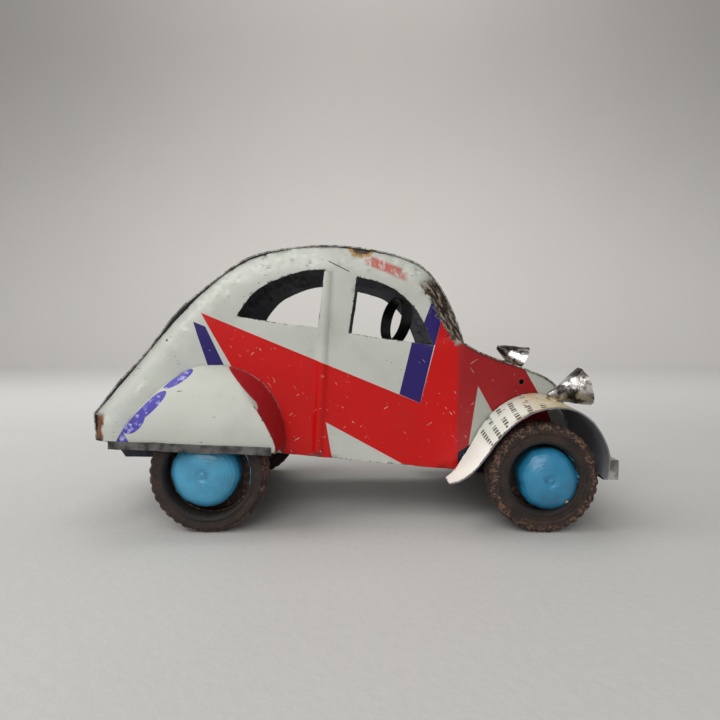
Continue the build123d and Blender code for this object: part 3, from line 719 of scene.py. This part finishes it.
@dataclass(frozen=True)
class Rubber:
    """Worn dark brown rubber with dusty scuffs, hub paint spilt by the bore, and painted shade in the gap
    round the bore.
    """

    name: str
    axle: Point
    bore: float
    spill: float = 0.0

    def material(self) -> bpy.types.Material:
        """Build the finish."""
        shop = NodeShop(self.name)
        x, _, z = shop.place()
        across, up = x - self.axle[0], z - self.axle[1]
        reach = shop.maths("SQRT", across * across + up * up)
        angle = shop.maths("ARCTAN2", up, across)
        blotch = shop.noise(5.0, 5.0, 0.65)
        fine = shop.noise(0.7, 5.0, 0.7, None, 2.0)
        colour = shop.mix(blotch.step(0.35, 0.7), (0.012, 0.007, 0.005), (0.042, 0.020, 0.014))
        outer = reach.step(self.bore + 2.6, self.bore + 4.2) * 0.13
        scuff = (fine * 0.85 + shop.noise(2.2, 4.0, 0.6, None, 8.0) * 0.35 + outer).step(0.71, 0.80)
        colour = shop.mix(scuff * 0.75, colour, (0.21, 0.115, 0.072))
        paint = (reach + (shop.noise(1.6, 3.0, 0.6, None, 4.0) - 0.5) * 1.6).step(
            self.bore + self.spill, self.bore + self.spill - 0.15
        ) * abs(angle - 0.45).step(0.75, 0.60)
        # Painted shade: a near-black ring on the tyre face round the bore, where the gap under the cap lies
        # in shade.
        bore_shade = reach.step(self.bore + 1.5, self.bore + 0.9)
        colour = shop.mix(bore_shade * 0.8, colour, (0.010, 0.008, 0.007))
        colour = shop.mix(paint, colour, (0.06, 0.28, 0.45))
        rough = shop.blend(paint, fine * 0.25 + 0.62, 0.34)
        rings = shop.maths("SINE", reach * 5.2 + (blotch - 0.5) * 3.0) * 0.25
        spokes = shop.maths("SINE", angle * 61.0) * 0.12
        normal = shop.bump(fine * 1.2 + blotch + rings + spokes, 0.22, 0.75)
        return shop.surface({"Base Color": colour, "Roughness": rough, "Normal": normal})


@dataclass(frozen=True)
class BrushedPaint:
    """Hand-brushed gloss paint with brush rings, a darker patchy dimple and small chips."""

    name: str
    axle: Point
    colour: Colour = (0.047, 0.255, 0.415)
    chip: Point = (0.0, 0.0)

    def material(self) -> bpy.types.Material:
        """Build the finish."""
        shop = NodeShop(self.name)
        x, _, z = shop.place()
        across, up = x - self.axle[0], z - self.axle[1]
        reach = shop.maths("SQRT", across * across + up * up)
        cloud = shop.noise(5.5, 3.0, 0.5)
        lighter = tuple(part * 1.3 for part in self.colour)
        colour = shop.mix(cloud.step(0.35, 0.7), self.colour, lighter)
        # Paint darker and patchy in the middle dimple.
        dimple_dark = reach.step(1.6, 0.2) * shop.noise(1.2, 3.0).step(0.35, 0.6)
        specks = shop.specks(2.6, 0.14, 0.13, 7.0)
        edge = (reach + (shop.noise(1.3, 4.0, 0.65) - 0.5) * 1.6).step(8.4, 9.6)
        colour = shop.mix(dimple_dark * 0.55, colour, (0.02, 0.07, 0.10))
        colour = shop.mix(specks, colour, (0.03, 0.03, 0.03))
        colour = shop.mix(edge * 0.30, colour, (0.02, 0.09, 0.14))
        if self.chip != (0.0, 0.0):
            gap_x, gap_z = across - self.chip[0], up - self.chip[1]
            spot = shop.maths("SQRT", gap_x * gap_x + gap_z * gap_z) + (shop.noise(0.6, 3.0) - 0.5) * 0.8
            colour = shop.mix(spot.step(0.85, 0.75), colour, (0.04, 0.035, 0.03))
            colour = shop.mix(spot.step(0.55, 0.45), colour, (0.62, 0.60, 0.52))
        rings = shop.maths("SINE", reach * 7.0 + (cloud - 0.5) * 5.0) * 0.5 + 0.5
        rough = cloud * 0.22 + 0.24 + specks * 0.3
        normal = shop.bump(rings * 0.22 + shop.noise(2.8, 2.0) * 1.2 + shop.noise(0.6, 3.0) * 0.25, 0.20, 0.7)
        return shop.surface(
            {"Base Color": colour, "Roughness": rough, "Normal": normal},
            {"Coat Weight": 0.35, "Coat Roughness": 0.15},
        )


# ---------------------------------------------------------------- mesh helpers
def finished(
    mesh: bmesh.types.BMesh,
    name: str,
    body: str,
    material: bpy.types.Material,
    nodes: Sequence[str] = (),
    smooth_angle: float = 40.0,
) -> bpy.types.Object:
    """Turn a bmesh in metres into a piece that rides on a body.

    Args:
        mesh: The bmesh, freed here.
        name: Piece name.
        body: CAD body that it moves with.
        material: Finish.
        nodes: CAD nodes that the piece stands for.
        smooth_angle: Edges sharper than this stay crisp, in degrees.

    Returns:
        The new object.
    """
    limit = math.radians(smooth_angle)
    for face in mesh.faces:
        face.smooth = True
    for edge in mesh.edges:
        edge.smooth = len(edge.link_faces) != 2 or edge.calc_face_angle(0.0) < limit
    data = bpy.data.meshes.new(name)
    mesh.to_mesh(data)
    mesh.free()
    data.materials.append(material)
    made = bpy.data.objects.new(name, data)
    bpy.context.scene.collection.objects.link(made)
    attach(made, body)
    if nodes:
        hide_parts(*nodes)
    LOG.info("%s: %d faces on %s", name, len(data.polygons), body)
    return made


def copy_of(node: str) -> bmesh.types.BMesh:
    """Merged copy of a CAD node's mesh, with flat areas joined again."""
    mesh = bmesh.new()
    mesh.from_mesh(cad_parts[node].data)
    bmesh.ops.remove_doubles(mesh, verts=mesh.verts, dist=2e-6)
    bmesh.ops.dissolve_limit(
        mesh, angle_limit=math.radians(0.4), verts=mesh.verts, edges=mesh.edges, use_dissolve_boundaries=False
    )
    return mesh


def gridded(mesh: bmesh.types.BMesh, step: float, axes: str = "XYZ") -> None:
    """Cut a mesh along evenly spaced planes, so that it can be bent and dented.

    Args:
        mesh: The mesh to cut.
        step: Spacing in millimetres.
        axes: Axes that the planes are square to.
    """
    low = [min(vert.co[i] for vert in mesh.verts) for i in range(3)]
    high = [max(vert.co[i] for vert in mesh.verts) for i in range(3)]
    for axis in axes:
        index = "XYZ".index(axis)
        count = int((high[index] - low[index]) / (step * MM))
        for number in range(1, count + 1):
            point = Vector((0.0, 0.0, 0.0))
            normal = Vector((0.0, 0.0, 0.0))
            point[index] = low[index] + (number - 0.37) * step * MM
            normal[index] = 1.0
            geometry = mesh.verts[:] + mesh.edges[:] + mesh.faces[:]
            bmesh.ops.bisect_plane(mesh, geom=geometry, dist=1e-7, plane_co=point, plane_no=normal)
    bmesh.ops.triangulate(mesh, faces=mesh.faces)
    measure_edges(mesh)


def wavy(size: float, seed: float, point: Vector) -> Vector:
    """Smooth random vector from -1 to 1 at a place.

    Args:
        size: Size of the waves in millimetres.
        seed: Offset that gives a different pattern.
        point: The place, in metres.

    Returns:
        The vector.
    """
    return noise.noise_vector(point / (size * MM) + Vector((seed * 7.31, seed * 3.17, seed * 5.03)))


def crumple(
    mesh: bmesh.types.BMesh, depth: Sequence[float], size: float, seed: float, verts: list | None = None
) -> None:
    """Move points by a smooth random amount.

    Args:
        mesh: The mesh to shake.
        depth: Largest move along X, Y and Z in millimetres.
        size: Size of the dents in millimetres.
        seed: Offset that gives a different pattern.
        verts: Points to move; all of them if left out.
    """
    for vert in verts or mesh.verts:
        push = wavy(size, seed, vert.co)
        vert.co += Vector([move * part * MM for move, part in zip(push, depth)])


def crease(mesh: bmesh.types.BMesh, depth: float, size: float, seed: float) -> None:
    """Push a mesh in along its normals with sharp-edged random folds.

    Args:
        mesh: The mesh to fold.
        depth: Largest move in millimetres.
        size: Size of the folds in millimetres.
        seed: Offset that gives a different pattern.
    """
    mesh.normal_update()
    moves = []
    for vert in mesh.verts:
        push = wavy(size, seed, vert.co)
        moves.append((abs(push.x) + abs(push.y) - 0.7) * depth * MM)
    centre = sum((vert.co for vert in mesh.verts), Vector()) / len(mesh.verts)
    for vert, move in zip(mesh.verts, moves):
        away = (vert.co - centre).normalized()
        vert.co += away * move


def rims(mesh: bmesh.types.BMesh) -> list:
    """Points along the cut edges of a sheet."""
    found = set()
    for edge in mesh.edges:
        if len(edge.link_faces) == 2 and edge.calc_face_angle(0.0) > math.radians(55.0):
            found.update(edge.verts)
    return list(found)


def measure_edges(mesh: bmesh.types.BMesh) -> None:
    """Note each point's distance to the nearest cut edge, in millimetres, for wear along edges."""
    layer = mesh.verts.layers.float.new(EDGE_LAYER)
    edge = rims(mesh)
    tree = kdtree.KDTree(len(edge))
    for number, vert in enumerate(edge):
        tree.insert(vert.co, number)
    tree.balance()
    for vert in mesh.verts:
        vert[layer] = tree.find(vert.co)[2] / MM if edge else 99.0


def soften(mesh: bmesh.types.BMesh, verts: list, passes: int, axes: str = "XYZ") -> None:
    """Smooth some points towards their neighbours.

    Args:
        mesh: The mesh.
        verts: Points to smooth.
        passes: How many times.
        axes: Axes along which they may move.
    """
    for _ in range(passes):
        bmesh.ops.smooth_vert(
            mesh,
            verts=verts,
            factor=0.5,
            use_axis_x="X" in axes,
            use_axis_y="Y" in axes,
            use_axis_z="Z" in axes,
        )


# ------------------------------------------------------------------- assembly
# Plain metals: name, light and dark tone, roughness, how metallic, size of the stains in millimetres,
# and share of rust.
PLAIN_METALS = (
    ("floor_tin", (0.060, 0.058, 0.058), (0.018, 0.017, 0.018), 0.45, 0.6, 2.0, 0.10),
    ("tray_tin", (0.045, 0.050, 0.065), (0.010, 0.010, 0.013), 0.30, 0.8, 2.5, 0.06),
    ("wire_steel", (0.30, 0.28, 0.26), (0.12, 0.10, 0.09), 0.35, 0.9, 1.0, 0.2),
    ("axle_tin", (0.30, 0.29, 0.28), (0.08, 0.075, 0.07), 0.40, 0.8, 1.2, 0.15),
    ("dish_tin", (0.045, 0.030, 0.025), (0.012, 0.010, 0.009), 0.5, 0.5, 1.2, 0.2),
    ("lamp_face", (0.16, 0.15, 0.14), (0.05, 0.045, 0.04), 0.45, 0.8, 0.9, 0.2),
    ("trim_tin", (0.16, 0.155, 0.15), (0.035, 0.033, 0.033), 0.40, 0.7, 1.0, 0.08),
    ("black_metal", (0.035, 0.033, 0.035), (0.010, 0.010, 0.010), 0.38, 0.5, 1.5, 0.06),
    ("bumper_metal", (0.46, 0.45, 0.42), (0.10, 0.09, 0.085), 0.38, 0.5, 1.3, 0.14),
)


@dataclass
class Finishes:
    """All finishes, each built once."""

    made: dict[str, bpy.types.Material] = field(default_factory=dict)

    def get(self, name: str) -> bpy.types.Material:
        """A finish by name."""
        return self.made[name]

    def build(self) -> None:
        """Build every finish."""
        kinds: list[Printed | Metal | Rubber | BrushedPaint] = [
            SidePrint("printed_side", chips=0.34, scratch=0.34),
            StripPrint("printed_roof"),
            StripPrint("printed_hood", hood_taper=True),
            StripPrint("printed_nose", half_width=60.0),
            FenderPrint("printed_fender"),
            SkirtPrint("printed_skirt"),
            Metal(
                "lamp_tin",
                (0.64, 0.62, 0.60),
                (0.045, 0.038, 0.036),
                rough=0.22,
                metallic=1.0,
                grain=2.0,
                rust=0.11,
                rust_colour=(0.40, 0.13, 0.04),
                depth=0.35,
                stains=(0.42, 0.56),
            ),
            Metal(
                "solder_metal",
                (0.66, 0.60, 0.50),
                (0.30, 0.21, 0.10),
                rough=0.30,
                metallic=0.95,
                grain=0.7,
                rust=0.22,
                rust_colour=(0.20, 0.10, 0.025),
                depth=0.3,
            ),
            Rubber("front_rubber", FRONT_AXLE, BORES["front"]),
            Rubber("rear_rubber", REAR_AXLE, BORES["rear"], spill=0.35),
            BrushedPaint("front_blue", FRONT_AXLE, colour=(0.018, 0.175, 0.315), chip=(6.2, -6.4)),
            BrushedPaint("rear_blue", REAR_AXLE),
        ]
        kinds += [Metal(*row) for row in PLAIN_METALS]
        for kind in kinds:
            self.made[kind.name] = kind.material()
            LOG.info("finish %s", kind.name)


@dataclass
class BodyShell:
    """Side panels, roof strip, hood strip and nose, cut and bent by hand."""

    finishes: Finishes
    grid: float = 1.5
    flank: float = 23.5
    cowl: float = 30.0
    fold_inner: float = 20.95
    rib_foot: Point = (-8.4, 20.0)
    rib_lean: float = 0.055
    rib_half_width: float = 2.6
    fold_passes: int = 14
    lift_from: float = 15.0
    lift_width: float = 6.4
    lifts: Sequence[tuple[float, float, float]] = ((-49.5, 5.5, 1.0), (-68.0, 4.0, 0.7), (-30.0, 9.0, 0.25))
    body: str = "car_body"

    def in_fold(self, place: Vector) -> bool:
        """Whether a point lies where the roof shoulder is folded, and not on the door rib."""
        x, y, z = (part / MM for part in place)
        rib = self.rib_foot[0] + (z - self.rib_foot[1]) * self.rib_lean
        in_shoulder = self.fold_inner < abs(y) < self.flank + 0.02
        return x < self.cowl and in_shoulder and abs(x - rib) > self.rib_half_width

    def side_panel(self, side: Side) -> None:
        """Flank, shoulder and hood side of one side, with a soft shoulder fold and dents."""
        node = f"side_panel_{side.word}"
        mesh = copy_of(node)
        gridded(mesh, self.grid, "XZ")
        soften(mesh, [vert for vert in mesh.verts if self.in_fold(vert.co)], self.fold_passes, "Y")
        crumple(mesh, (0.0, 0.16, 0.0), 19.0, 3.0 + side.value)
        crumple(mesh, (0.16, 0.0, 0.16), 2.6, 5.0 + side.value, rims(mesh))
        finish = self.finishes.get("printed_side")
        finished(mesh, f"tin_{node}", self.body, finish, [node], 50.0)

    def strips(self) -> None:
        """Roof strip, hood strip and nose, with uneven edges that lift here and there."""
        for node, finish, seed in (
            ("roof_strip", "printed_roof", 21.0),
            ("hood_strip", "printed_hood", 22.0),
            ("nose_panel", "printed_nose", 23.0),
        ):
            mesh = copy_of(node)
            gridded(mesh, self.grid, "XYZ")
            crumple(mesh, (0.06, 0.34, 0.06), 2.6, seed, rims(mesh))
            crumple(mesh, (0.22, 0.0, 0.22), 13.0, seed + 4.0)
            if node == "roof_strip":
                self.lift_edges(mesh)
            finished(mesh, f"tin_{node}", self.body, self.finishes.get(finish), [node], 40.0)

    def lift_edges(self, mesh: bmesh.types.BMesh) -> None:
        """Bend the roof strip's edges up where they have come away from the sides."""
        for vert in mesh.verts:
            x, y = vert.co.x / MM, vert.co.y / MM
            edge = min(1.0, max(0.0, (abs(y) - self.lift_from) / self.lift_width)) ** 2
            for place, reach, height in self.lifts:
                if y < 0.0 or place < 0.0:
                    near = math.exp(-(((x - place) / reach) ** 2))
                    vert.co += Vector((-0.66, 0.0, 0.75)) * (edge * near * height * MM)

    def build(self) -> None:
        """Build the shell."""
        for side in Side:
            self.side_panel(side)
        self.strips()


@dataclass
class Wheel:
    """Rubber tyre with a notched tread, and a domed hub cap."""

    finishes: Finishes
    end: str
    side: Side
    steps: int = 180
    notch_every: int = 5
    notch_depth: float = 0.32
    half_width: float = 4.25
    cap_steps: int = 96
    cap_ahead: float = 1.5

    def frame_of(self, node: str) -> tuple[Vector, float]:
        """Centre of a CAD node's box and its radius, in millimetres."""
        low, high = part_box(node)
        return (low + high) / 2 / MM, (high.z - low.z) / 2 / MM

    def spun(self, profile: Sequence[Point], centre: Vector, steps: int) -> bmesh.types.BMesh:
        """Turn a closed profile round the axle.

        Args:
            profile: Points of (radius, distance out from the car's middle) in millimetres.
            centre: A point on the axle, in millimetres.
            steps: Steps round the axle.

        Returns:
            The closed mesh, in metres.
        """
        mesh = bmesh.new()
        sign = self.side.value
        verts = [mesh.verts.new(((centre.x + r) * MM, sign * out * MM, centre.z * MM)) for r, out in profile]
        edges = [mesh.edges.new((vert, verts[(i + 1) % len(verts)])) for i, vert in enumerate(verts)]
        bmesh.ops.spin(
            mesh,
            geom=verts + edges,
            cent=(centre.x * MM, 0.0, centre.z * MM),
            axis=(0.0, 1.0, 0.0),
            angle=2 * math.pi,
            steps=steps,
            use_merge=True,
        )
        bmesh.ops.remove_doubles(mesh, verts=mesh.verts, dist=1e-6)
        bmesh.ops.recalc_face_normals(mesh, faces=mesh.faces)
        return mesh

    def tyre(self) -> None:
        """Tyre with rounded shoulders, notches across the tread's edges and a worn surface."""
        node = f"{self.end}_tyre_{self.side.word}"
        centre, radius = self.frame_of(node)
        inner, outer = abs(centre.y) - self.half_width, abs(centre.y) + self.half_width
        bore = BORES[self.end]
        wall = radius - bore
        profile = [
            (bore, outer - 1.0),
            (bore + 0.25, outer - 0.35),
            (bore + 0.7, outer - 0.05),
            (bore + 1.2, outer - 0.12),
            (bore + 0.36 * wall, outer - 0.30),
            (bore + 0.50 * wall, outer - 0.22),
            (bore + 0.60 * wall, outer - 0.02),
            (bore + 0.68 * wall, outer - 0.10),
            (radius - 0.95, outer - 0.22),
            (radius - 0.38, outer - 0.52),
            (radius - 0.10, outer - 1.0),
            (radius - 0.02, outer - 1.9),
            (radius - 0.25, outer - 3.1),
            (radius - 0.02, outer - 3.6),
            (radius - 0.02, (inner + outer) / 2),
            (radius - 0.02, inner + 3.6),
            (radius - 0.25, inner + 3.1),
            (radius - 0.02, inner + 1.9),
            (radius - 0.10, inner + 1.0),
            (radius - 0.38, inner + 0.52),
            (radius - 0.95, inner + 0.22),
            (bore + 0.4 * wall, inner + 0.05),
            (bore, inner + 0.1),
        ]
        mesh = self.spun(profile, centre, self.steps)
        middle = abs(centre.y)
        for vert in mesh.verts:
            x, z = vert.co.x / MM - centre.x, vert.co.z / MM - centre.z
            reach = math.hypot(x, z)
            turn = round(math.degrees(math.atan2(z, x)) % 360 / (360 / self.steps))
            across = abs(abs(vert.co.y) / MM - middle)
            wear = noise.noise(vert.co * 520.0 + Vector((self.side.value, 0, len(self.end))))
            push = 0.10 * wear
            if reach > radius - 1.3 and across > 1.2 and turn % self.notch_every < 2:
                push -= self.notch_depth * (1.0 + 0.6 * wear)
            grow = (reach + min(push, 0.0 if reach > radius - 0.2 else 0.2)) / reach
            vert.co.x = (centre.x + x * grow) * MM
            vert.co.z = (centre.z + z * grow) * MM
        finish = self.finishes.get(f"{self.end}_rubber")
        finished(mesh, f"rubber_{node}", f"{self.end}_axle", finish, [node], 50.0)

    def cap(self) -> None:
        """Domed cap with a dimple and boss in the middle, and an uneven painted brim."""
        node = f"{self.end}_hub_cap_{self.side.word}"
        centre, radius = self.frame_of(node)
        if self.end == "front":
            centre += Vector((self.cap_ahead, 0.0, -0.4 * self.cap_ahead))
        low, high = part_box(node)
        crown = max(abs(low.y), abs(high.y)) / MM
        back = min(abs(low.y), abs(high.y)) / MM
        sheet = 0.35
        outside = [
            (radius, back),
            (radius + 0.03, crown - 4.6),
            (radius - 0.05, crown - 3.6),
            (radius - 0.45, crown - 2.95),
            (0.86 * radius, crown - 2.0),
            (0.72 * radius, crown - 1.2),
            (0.56 * radius, crown - 0.62),
            (0.40 * radius, crown - 0.26),
            (0.27 * radius, crown - 0.08),
            (0.21 * radius, crown - 0.10),
            (0.15 * radius, crown - 0.34),
            (0.09 * radius, crown - 0.52),
            (0.055 * radius, crown - 0.36),
            (0.0, crown - 0.26),
        ]
        back_skin = [(max(r - sheet, 0.0), out - sheet) for r, out in reversed(outside[1:])]
        profile = outside + [point for point in back_skin if point[0] > 0.0 or point is back_skin[0]]
        profile.append((radius - sheet, back))
        mesh = self.spun(profile, centre, self.cap_steps)
        for vert in mesh.verts:
            x, z = vert.co.x / MM - centre.x, vert.co.z / MM - centre.z
            reach = math.hypot(x, z)
            if reach < 0.2:
                continue
            ragged = noise.noise(Vector((x, z, 3.0 * self.side.value + len(self.end))) * 0.35)
            fine = noise.noise(Vector((x, z, 9.0)) * 0.9)
            share = max(0.0, (reach - 0.55 * radius) / (0.45 * radius))
            grow = (reach + share * (0.30 * ragged + 0.16 * fine - 0.22 + self.lip(math.atan2(z, x)))) / reach
            vert.co.x = (centre.x + x * grow) * MM
            vert.co.z = (centre.z + z * grow) * MM
            vert.co.y -= self.side.value * 0.10 * MM * (fine + ragged + 1.0) * (1.0 - share * 0.5)
        finish = self.finishes.get(f"{self.end}_blue")
        finished(mesh, f"painted_{node}", f"{self.end}_axle", finish, [node], 50.0)

    def lip(self, angle: float) -> float:
        """How far the front cap's brim is pulled out at an angle round the axle, in millimetres."""
        if self.end == "rear":
            return 0.0
        corner = 0.85 * math.exp(-(((angle + 0.75) / 0.42) ** 2))
        flat = 0.55 * math.exp(-(((angle - 0.55) / 0.38) ** 2))
        return corner - flat - 0.8 * math.exp(-(((abs(angle) - math.pi) / 0.8) ** 2))

    def build(self) -> None:
        """Build the tyre and its cap."""
        self.tyre()
        self.cap()


@dataclass
class Fenders:
    """Front fenders, rear skirts and the trim along the skirts."""

    finishes: Finishes
    body: str = "car_body"

    def front(self, side: Side) -> None:
        """Front fender, with dents and an uneven edge."""
        node = f"front_fender_{side.word}"
        mesh = copy_of(node)
        gridded(mesh, 1.3, "XYZ")
        crumple(mesh, (0.16, 0.10, 0.16), 10.0, 31.0 + side.value)
        crumple(mesh, (0.10, 0.22, 0.10), 2.8, 33.0 + side.value, rims(mesh))
        finish = self.finishes.get("printed_fender")
        finished(mesh, f"tin_{node}", self.body, finish, [node], 40.0)

    def skirt(self, side: Side) -> None:
        """Rear skirt, with its folds rounded over."""
        node = f"rear_fender_{side.word}"
        mesh = copy_of(node)
        gridded(mesh, 1.4, "XYZ")
        edge = set(rims(mesh))
        inner = [vert for vert in mesh.verts if vert not in edge]
        soften(mesh, inner, 5)
        crumple(mesh, (0.0, 0.14, 0.0), 12.0, 41.0 + side.value)
        crumple(mesh, (0.14, 0.0, 0.14), 2.4, 43.0 + side.value, list(edge))
        finish = self.finishes.get("printed_skirt")
        finished(mesh, f"tin_{node}", self.body, finish, [node], 35.0)

    def trim(self, side: Side) -> None:
        """Grey strip along the skirt's foot, slightly wavy."""
        node = f"rear_fender_trim_{side.word}"
        mesh = copy_of(node)
        gridded(mesh, 1.0, "XZ")
        crumple(mesh, (0.0, 0.10, 0.22), 8.0, 51.0 + side.value)
        crumple(mesh, (0.05, 0.05, 0.08), 1.6, 53.0 + side.value)
        finished(mesh, f"tin_{node}", self.body, self.finishes.get("trim_tin"), [node], 30.0)

    def build(self) -> None:
        """Build both sides."""
        for side in Side:
            self.front(side)
            self.skirt(side)
            self.trim(side)


@dataclass
class Lamps:
    """Crumpled tin lamp cones, their faces, solder and stem, and the front bumper."""

    finishes: Finishes
    body: str = "car_body"

    def shaken(self, node: str, finish: str, grid: float, fold: float, size: float, seed: float) -> None:
        """Creased copy of a CAD piece.

        Args:
            node: The CAD node it stands for.
            finish: Name of its finish.
            grid: Spacing of its points in millimetres.
            fold: Depth of its creases in millimetres.
            size: Size of its creases in millimetres.
            seed: Offset that gives a different pattern.
        """
        mesh = copy_of(node)
        gridded(mesh, grid, "XYZ")
        crease(mesh, fold, size, seed)
        crumple(mesh, (fold / 3, fold / 3, fold / 3), size / 2, seed + 2.0)
        finished(mesh, f"tin_{node}", self.body, self.finishes.get(finish), [node], 30.0)

    def build(self) -> None:
        """Build both lamps and the bumper."""
        for side in Side:
            self.shaken(f"headlamp_cone_{side.word}", "lamp_tin", 0.8, 0.34, 3.4, 61.0 + side.value)
            self.shaken(f"headlamp_disc_{side.word}", "lamp_face", 0.8, 0.15, 3.0, 65.0 + side.value)
        self.shaken("headlamp_solder_right", "solder_metal", 0.5, 0.45, 1.4, 67.0)
        self.shaken("headlamp_stem_left", "solder_metal", 0.6, 0.18, 1.6, 68.0)
        self.shaken("front_bumper", "bumper_metal", 1.1, 0.22, 7.0, 69.0)


@dataclass
class Inside:
    """Cabin, floor and running gear: the CAD shapes, slightly bent, with worn finishes."""

    finishes: Finishes
    body: str = "car_body"
    bent: Sequence[tuple[str, str, float, float]] = (
        ("floor_pan", "floor_tin", 2.5, 0.10),
        ("dash_panel", "floor_tin", 1.5, 0.12),
        ("steering_wheel", "black_metal", 1.0, 0.12),
        ("rear_axle_tray", "tray_tin", 2.0, 0.14),
    )
    kept: Sequence[tuple[str, str]] = (
        ("steering_column", "wire_steel"),
        ("front_axle_tube", "axle_tin"),
        ("rear_axle_tube", "axle_tin"),
        ("front_axle_wire", "wire_steel"),
        ("rear_axle_wire", "wire_steel"),
        ("front_wheel_dish_right", "dish_tin"),
        ("front_wheel_dish_left", "dish_tin"),
        ("rear_wheel_dish_right", "dish_tin"),
        ("rear_wheel_dish_left", "dish_tin"),
    )

    def build(self) -> None:
        """Bend the sheet pieces and dress the rest."""
        for number, (node, finish, grid, depth) in enumerate(self.bent):
            mesh = copy_of(node)
            gridded(mesh, grid, "XYZ")
            crumple(mesh, (depth, depth, depth), 7.0, 71.0 + number)
            finished(mesh, f"tin_{node}", self.body, self.finishes.get(finish), [node], 35.0)
        for node, finish in self.kept:
            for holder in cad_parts[node].material_slots:
                holder.material = self.finishes.get(finish)
            LOG.info("%s: %s", node, finish)


@dataclass
class Studio:
    """Floor, wall, light and camera."""

    camera_place: tuple[float, float, float] = (4.17, -175.4, 52.0)
    camera_pitch: float = 1.98
    camera_lens: float = 26.0
    table_back: float = 950.0
    table_reach: float = 6.0
    wall_reach: float = 9.0
    room_light: float = 0.40
    lamps: Sequence[tuple] = (
        ("window", (-420, -120, 560), (0, 0, 30), 460, 2.6, (1.0, 0.99, 0.97)),
        ("front", (-120, -560, 420), (0, 0, 30), 480, 2.3, (1.0, 0.99, 0.97)),
        ("wall_wash", (0, 450, 1300), (0, 1200, 200), 900, 6.0, (1.0, 0.98, 0.95)),
    )

    def floor_material(self) -> bpy.types.Material:
        """Pale tabletop with a faint plaster-like grain, painted lighter towards the wall as a painted
        fall-off of the light.
        """
        shop = NodeShop("pale_table")
        cloud = shop.noise(60.0, 4.0, 0.5)
        fine = shop.noise(2.2, 4.0, 0.6)
        _, away, _ = shop.place()
        # Painted light: the near part of the table is darker and the far part lighter, standing in for how
        # the light falls across it.
        near = shop.mix((cloud + fine) * 0.5, (0.50, 0.50, 0.49), (0.41, 0.41, 0.40))
        far = shop.mix((cloud + fine) * 0.5, (0.78, 0.78, 0.77), (0.70, 0.70, 0.69))
        colour = shop.mix(away.step(-80.0, 420.0), near, far)
        normal = shop.bump(fine + cloud, 0.35, 0.5)
        return shop.surface({"Base Color": colour, "Roughness": fine * 0.2 + 0.55, "Normal": normal})

    def wall_material(self) -> bpy.types.Material:
        """Pale warm grey wall, painted near-white low down and grey higher up as a painted fall-off of the
        light.
        """
        shop = NodeShop("pale_wall")
        _, _, height = shop.place()
        # Painted light: near-white at the foot of the wall, grey higher up.
        low = shop.mix(shop.noise(300.0, 2.0), (0.97, 0.95, 0.92), (0.91, 0.89, 0.86))
        high = shop.mix(shop.noise(300.0, 2.0), (0.58, 0.565, 0.545), (0.54, 0.525, 0.505))
        colour = shop.mix(height.step(80.0, 900.0), low, high)
        return shop.surface({"Base Color": colour}, {"Roughness": 0.9})

    def sheet(self, name: str, size: float, place: Matrix, material: bpy.types.Material) -> None:
        """Flat square of the stage.

        Args:
            name: Object name.
            size: Half its side, in metres.
            place: Where it stands.
            material: Its finish.
        """
        mesh = bmesh.new()
        bmesh.ops.create_grid(mesh, x_segments=8, y_segments=8, size=size)
        bmesh.ops.transform(mesh, matrix=place, verts=mesh.verts)
        data = bpy.data.meshes.new(name)
        mesh.to_mesh(data)
        mesh.free()
        data.materials.append(material)
        made = bpy.data.objects.new(name, data)
        bpy.context.scene.collection.objects.link(made)

    def lamp(self, name: str, place: tuple, target: tuple, size: float, power: float, colour: Colour) -> None:
        """Square soft light.

        Args:
            name: Object name.
            place: Where it hangs, in millimetres.
            target: What it points at, in millimetres.
            size: Side in millimetres.
            power: Watts.
            colour: Its colour.
        """
        light = bpy.data.lights.new(name, "AREA")
        light.shape = "SQUARE"
        light.size = size * MM
        light.energy = power
        light.color = colour
        made = bpy.data.objects.new(name, light)
        made.location = Vector(place) * MM
        made.rotation_euler = (Vector(target) - Vector(place)).to_track_quat("-Z", "Y").to_euler()
        bpy.context.scene.collection.objects.link(made)

    def build(self) -> None:
        """Build the stage, the lights and the camera."""
        back = self.table_back * MM
        flat = Matrix.Translation((0.0, back - self.table_reach, 0.0))
        upright = Matrix.Translation((0.0, back + 0.25, 8.0)) @ Matrix.Rotation(math.pi / 2, 4, "X")
        self.sheet("table", self.table_reach, flat, self.floor_material())
        self.sheet("wall", self.wall_reach, upright, self.wall_material())
        for row in self.lamps:
            self.lamp(*row)
        world = bpy.data.worlds.new("room")
        world.use_nodes = True
        glow = world.node_tree.nodes["Background"]
        glow.inputs[0].default_value = (0.86, 0.85, 0.84, 1.0)
        glow.inputs[1].default_value = self.room_light
        bpy.context.scene.world = world
        bpy.context.scene.view_settings.view_transform = "Standard"
        data = bpy.data.cameras.new("camera")
        data.lens = self.camera_lens
        data.sensor_width = 36.0
        data.clip_start = 0.005
        camera = bpy.data.objects.new("camera", data)
        camera.location = Vector(self.camera_place) * MM
        camera.rotation_euler = (math.radians(90.0 - self.camera_pitch), 0.0, 0.0)
        bpy.context.scene.collection.objects.link(camera)
        bpy.context.scene.camera = camera


def main() -> None:
    """Build everything in order."""
    noise.seed_set(DENT_SEED)
    logging.basicConfig(level=logging.INFO, format="%(message)s")
    Studio().build()
    finishes = Finishes()
    finishes.build()
    BodyShell(finishes).build()
    for end in ("front", "rear"):
        for side in Side:
            Wheel(finishes, end, side).build()
    Fenders(finishes).build()
    Lamps(finishes).build()
    Inside(finishes).build()


if __name__ == "__main__":
    main()
